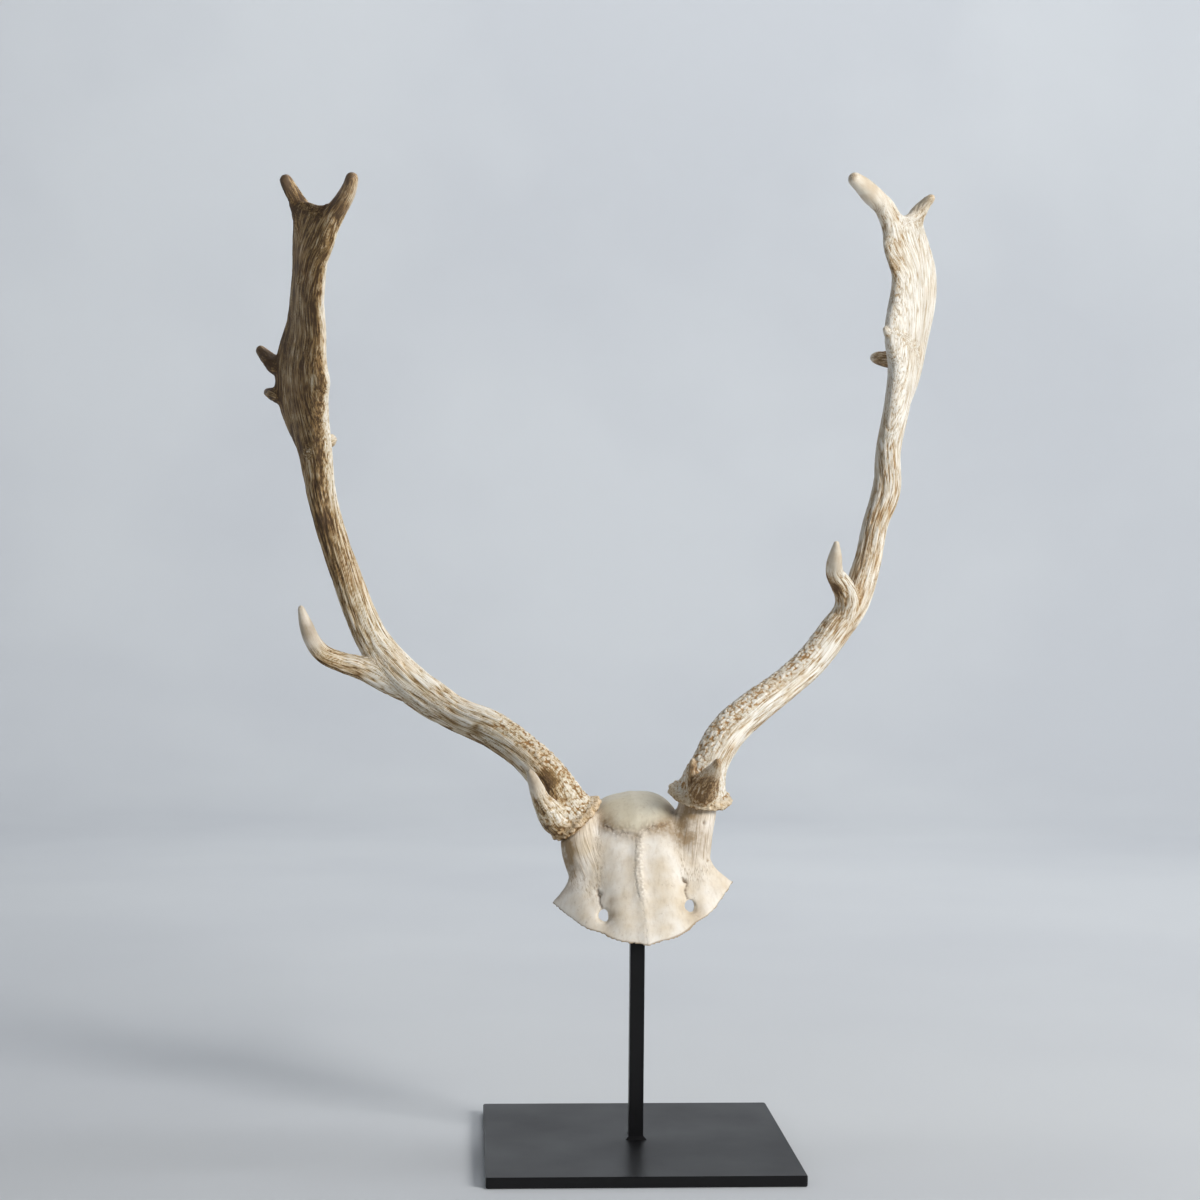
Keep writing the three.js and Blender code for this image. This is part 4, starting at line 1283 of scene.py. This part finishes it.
def build_bowl(setup):
    """A round floor that curves up into a wall on every side."""
    profile = [(0.0, 0.0)]
    for step in range(BOWL_STEPS + 1):
        angle = math.pi / 2 * step / BOWL_STEPS
        profile.append((
            BOWL_RADIUS - BOWL_CORNER + BOWL_CORNER * math.sin(angle),
            BOWL_CORNER - BOWL_CORNER * math.cos(angle),
        ))
    profile.append((BOWL_RADIUS, BOWL_HEIGHT))
    bowl = bmesh.new()
    verts = [bowl.verts.new((x, 0, z)) for x, z in profile]
    edges = [bowl.edges.new(pair) for pair in zip(verts, verts[1:])]
    bmesh.ops.spin(
        bowl, geom=[*verts, *edges], cent=(0, 0, 0), axis=(0, 0, 1),
        angle=math.tau, steps=BOWL_SIDES, use_merge=True,
    )
    bmesh.ops.remove_doubles(bowl, verts=bowl.verts, dist=1e-4)
    bmesh.ops.recalc_face_normals(bowl, faces=bowl.faces)
    bmesh.ops.reverse_faces(bowl, faces=bowl.faces)
    for face in bowl.faces:
        face.smooth = True
    data = bpy.data.meshes.new("studio_bowl")
    bowl.to_mesh(data)
    bowl.free()
    look = Finish("studio_paper")
    mottle = look.noise(look.place(), scale=1.3, detail=3)
    shade = look.tint(look.spread(mottle, 0.4, 0.6), setup.floor_colour, setup.floor_shade)
    data.materials.append(look.surface(Base_Color=shade, Roughness=0.9))
    stage = bpy.data.objects.new("studio_bowl", data)
    bpy.context.scene.collection.objects.link(stage)


def add_light(name, lamp_kind, target, power):
    place, size, colour = lamp_kind
    light = bpy.data.lights.new(name, "AREA")
    light.shape = "DISK"
    light.size = size
    light.energy = power
    light.color = colour
    lamp = bpy.data.objects.new(name, light)
    aim = (Vector(target) - Vector(place)).to_track_quat("-Z", "Y")
    lamp.matrix_world = Matrix.Translation(place) @ aim.to_matrix().to_4x4()
    lamp.visible_camera = False
    bpy.context.scene.collection.objects.link(lamp)


def build_lights(setup):
    add_light("window", WINDOW, OBJECT_MIDDLE, setup.window_power)
    add_light("fill", FILL, OBJECT_MIDDLE, setup.fill_power)
    add_light("wall", WALL_WASH, WALL_MIDDLE, setup.wall_power)
    world = bpy.data.worlds.new("studio_air")
    world.use_nodes = True
    air = world.node_tree.nodes["Background"]
    air.inputs["Color"].default_value = AIR_COLOUR
    air.inputs["Strength"].default_value = setup.air_strength
    scene = bpy.context.scene
    scene.world = world
    scene.view_settings.view_transform = "Standard"


# ---------------------------------------------------------------- add-on

def length_property(name, description, default):
    """A length in millimetres, kept in metres."""
    return FloatProperty(
        name=name, description=description, default=default * MM, min=0, subtype="DISTANCE", unit="LENGTH"
    )


def colour_property(name, description, *screen):
    return FloatVectorProperty(
        name=name, description=description, default=tone(*screen), subtype="COLOR", size=3, min=0, max=1
    )


class AntlerFinish:
    voxel: length_property("Skin detail", "Edge length of the antler's skin", 1.0)
    groove_depth: length_property("Furrow depth", "Depth of the long furrows on the beams", 0.75)
    pearl_height: length_property("Pearl height", "Height of the pearls above the burr", 0.9)
    knob_height: length_property("Knob height", "Height of the knobs round the burr", 1.9)


# The left antler's colours are darker and browner than the right's: partly browner bone and partly
# painted shade.
class LeftAntlerFinishAndShade(AntlerFinish, PropertyGroup):
    groove_colour: colour_property("Groove colour", "Floor of the deep furrows", 92, 66, 36)
    brown: colour_property("Brown", "Sides of the furrows", 170, 136, 86)
    cream: colour_property("Cream", "Lands between the furrows", 220, 203, 172)
    pale: colour_property("Pale", "Rubbed crests", 246, 239, 226)
    gold: colour_property("Gold", "Golden patches", 232, 200, 150)
    tip_colour: colour_property("Tip colour", "Polished tips", 216, 203, 184)
    tip_shade: colour_property("Tip shade", "Darker patches of the tips", 176, 158, 134)


class RightAntlerFinish(AntlerFinish, PropertyGroup):
    groove_colour: colour_property("Groove colour", "Floor of the deep furrows", 110, 80, 46)
    brown: colour_property("Brown", "Sides of the furrows", 184, 150, 104)
    cream: colour_property("Cream", "Lands between the furrows", 222, 209, 186)
    pale: colour_property("Pale", "Rubbed crests", 246, 241, 231)
    gold: colour_property("Gold", "Golden patches", 238, 214, 174)
    tip_colour: colour_property("Tip colour", "Polished tips", 226, 215, 196)
    tip_shade: colour_property("Tip shade", "Darker patches of the tips", 196, 176, 146)


class BoneFinish(PropertyGroup):
    voxel: length_property("Skin detail", "Edge length of the skull cap's skin", 0.8)
    suture_depth: length_property("Suture depth", "Depth of the seams between the bones", 0.4)
    cream: colour_property("Cream", "Bone in the hollows", 226, 211, 187)
    pale: colour_property("Pale", "Bone on the flats", 244, 238, 228)
    crest_colour: colour_property("Crest colour", "Rubbed crest along the midline", 246, 240, 228)
    dome_colour: colour_property("Dome colour", "Greyer bone of the braincase", 216, 208, 184)
    # This brown colours the stains and also the painted shade.
    stain_colour: colour_property("Stain colour", "Brown stains", 148, 118, 74)
    line_colour: colour_property("Line colour", "Floor of sutures and pits", 92, 66, 38)
    sawn_colour: colour_property("Sawn colour", "Sawn edge", 150, 122, 84)


class SteelFinish(PropertyGroup):
    paint: colour_property("Paint", "Satin black paint", 17, 17, 18)
    rubbed: colour_property("Rubbed", "Paint that is slightly rubbed", 23, 22, 24)
    roughness: FloatProperty(
        name="Roughness", description="Roughness of the paint", default=0.36, min=0.05, max=1
    )


class StudioSetup(PropertyGroup):
    lens: FloatProperty(
        name="Lens", description="Focal length on a 36 mm sensor", default=66.81, unit="CAMERA"
    )
    floor_colour: colour_property("Floor colour", "Pale floor and wall", 206, 209, 212)
    floor_shade: colour_property("Floor shade", "Darker patches of the floor", 200, 203, 207)
    window_power: FloatProperty(name="Window", description="Main light", default=65, unit="POWER")
    fill_power: FloatProperty(name="Fill", description="Light from the left", default=3, unit="POWER")
    wall_power: FloatProperty(name="Wall", description="Light on the wall", default=58, unit="POWER")
    air_strength: FloatProperty(name="Air", description="Light from all round", default=0.1)


class DEERSKULL_OT_left_antler(Operator):
    """Builds the left antler"""

    bl_idname = "deerskull.left_antler"
    bl_label = "Left antler"

    def execute(self, context):
        build_antler(LEFT_ANTLER, context.scene.deerskull_left_antler)
        return {"FINISHED"}


class DEERSKULL_OT_right_antler(Operator):
    """Builds the right antler"""

    bl_idname = "deerskull.right_antler"
    bl_label = "Right antler"

    def execute(self, context):
        build_antler(RIGHT_ANTLER, context.scene.deerskull_right_antler)
        return {"FINISHED"}


class DEERSKULL_OT_skull_cap(Operator):
    """Builds the skull cap with its pedicles and sutures"""

    bl_idname = "deerskull.skull_cap"
    bl_label = "Skull cap"

    def execute(self, context):
        build_skull_cap(context.scene.deerskull_bone)
        return {"FINISHED"}


class DEERSKULL_OT_stand(Operator):
    """Paints the stand"""

    bl_idname = "deerskull.stand"
    bl_label = "Stand"

    def execute(self, context):
        paint_stand(context.scene.deerskull_steel)
        return {"FINISHED"}


class DEERSKULL_OT_studio(Operator):
    """Sets up the floor, the lights and the camera"""

    bl_idname = "deerskull.studio"
    bl_label = "Studio"

    def execute(self, context):
        setup = context.scene.deerskull_studio
        build_bowl(setup)
        build_lights(setup)
        build_camera(setup)
        return {"FINISHED"}


class DEERSKULL_PT_panel(Panel):
    """Lists the steps and their settings"""

    bl_idname = "DEERSKULL_PT_panel"
    bl_label = "Skull Cap"
    bl_space_type = "VIEW_3D"
    bl_region_type = "UI"
    bl_category = "Skull Cap"

    def draw(self, context):
        for setting, operator in STEPS.items():
            box = self.layout.box()
            settings = getattr(context.scene, setting)
            for name in settings.bl_rna.properties.keys():
                if name not in ("rna_type", "name"):
                    box.prop(settings, name)
            box.operator(f"deerskull.{operator}")


SETTINGS = {
    "deerskull_left_antler": LeftAntlerFinishAndShade,
    "deerskull_right_antler": RightAntlerFinish,
    "deerskull_bone": BoneFinish,
    "deerskull_steel": SteelFinish,
    "deerskull_studio": StudioSetup,
}
STEPS = {
    "deerskull_left_antler": "left_antler",
    "deerskull_right_antler": "right_antler",
    "deerskull_bone": "skull_cap",
    "deerskull_steel": "stand",
    "deerskull_studio": "studio",
}
CLASSES = (
    *SETTINGS.values(),
    DEERSKULL_OT_left_antler,
    DEERSKULL_OT_right_antler,
    DEERSKULL_OT_skull_cap,
    DEERSKULL_OT_stand,
    DEERSKULL_OT_studio,
    DEERSKULL_PT_panel,
)


def register():
    for cls in CLASSES:
        bpy.utils.register_class(cls)
    for name, group in SETTINGS.items():
        setattr(bpy.types.Scene, name, PointerProperty(type=group))


def unregister():
    for name in SETTINGS:
        delattr(bpy.types.Scene, name)
    for cls in reversed(CLASSES):
        bpy.utils.unregister_class(cls)


def main():
    register()
    for operator in STEPS.values():
        getattr(bpy.ops.deerskull, operator)()
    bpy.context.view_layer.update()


if __name__ == "__main__":
    main()
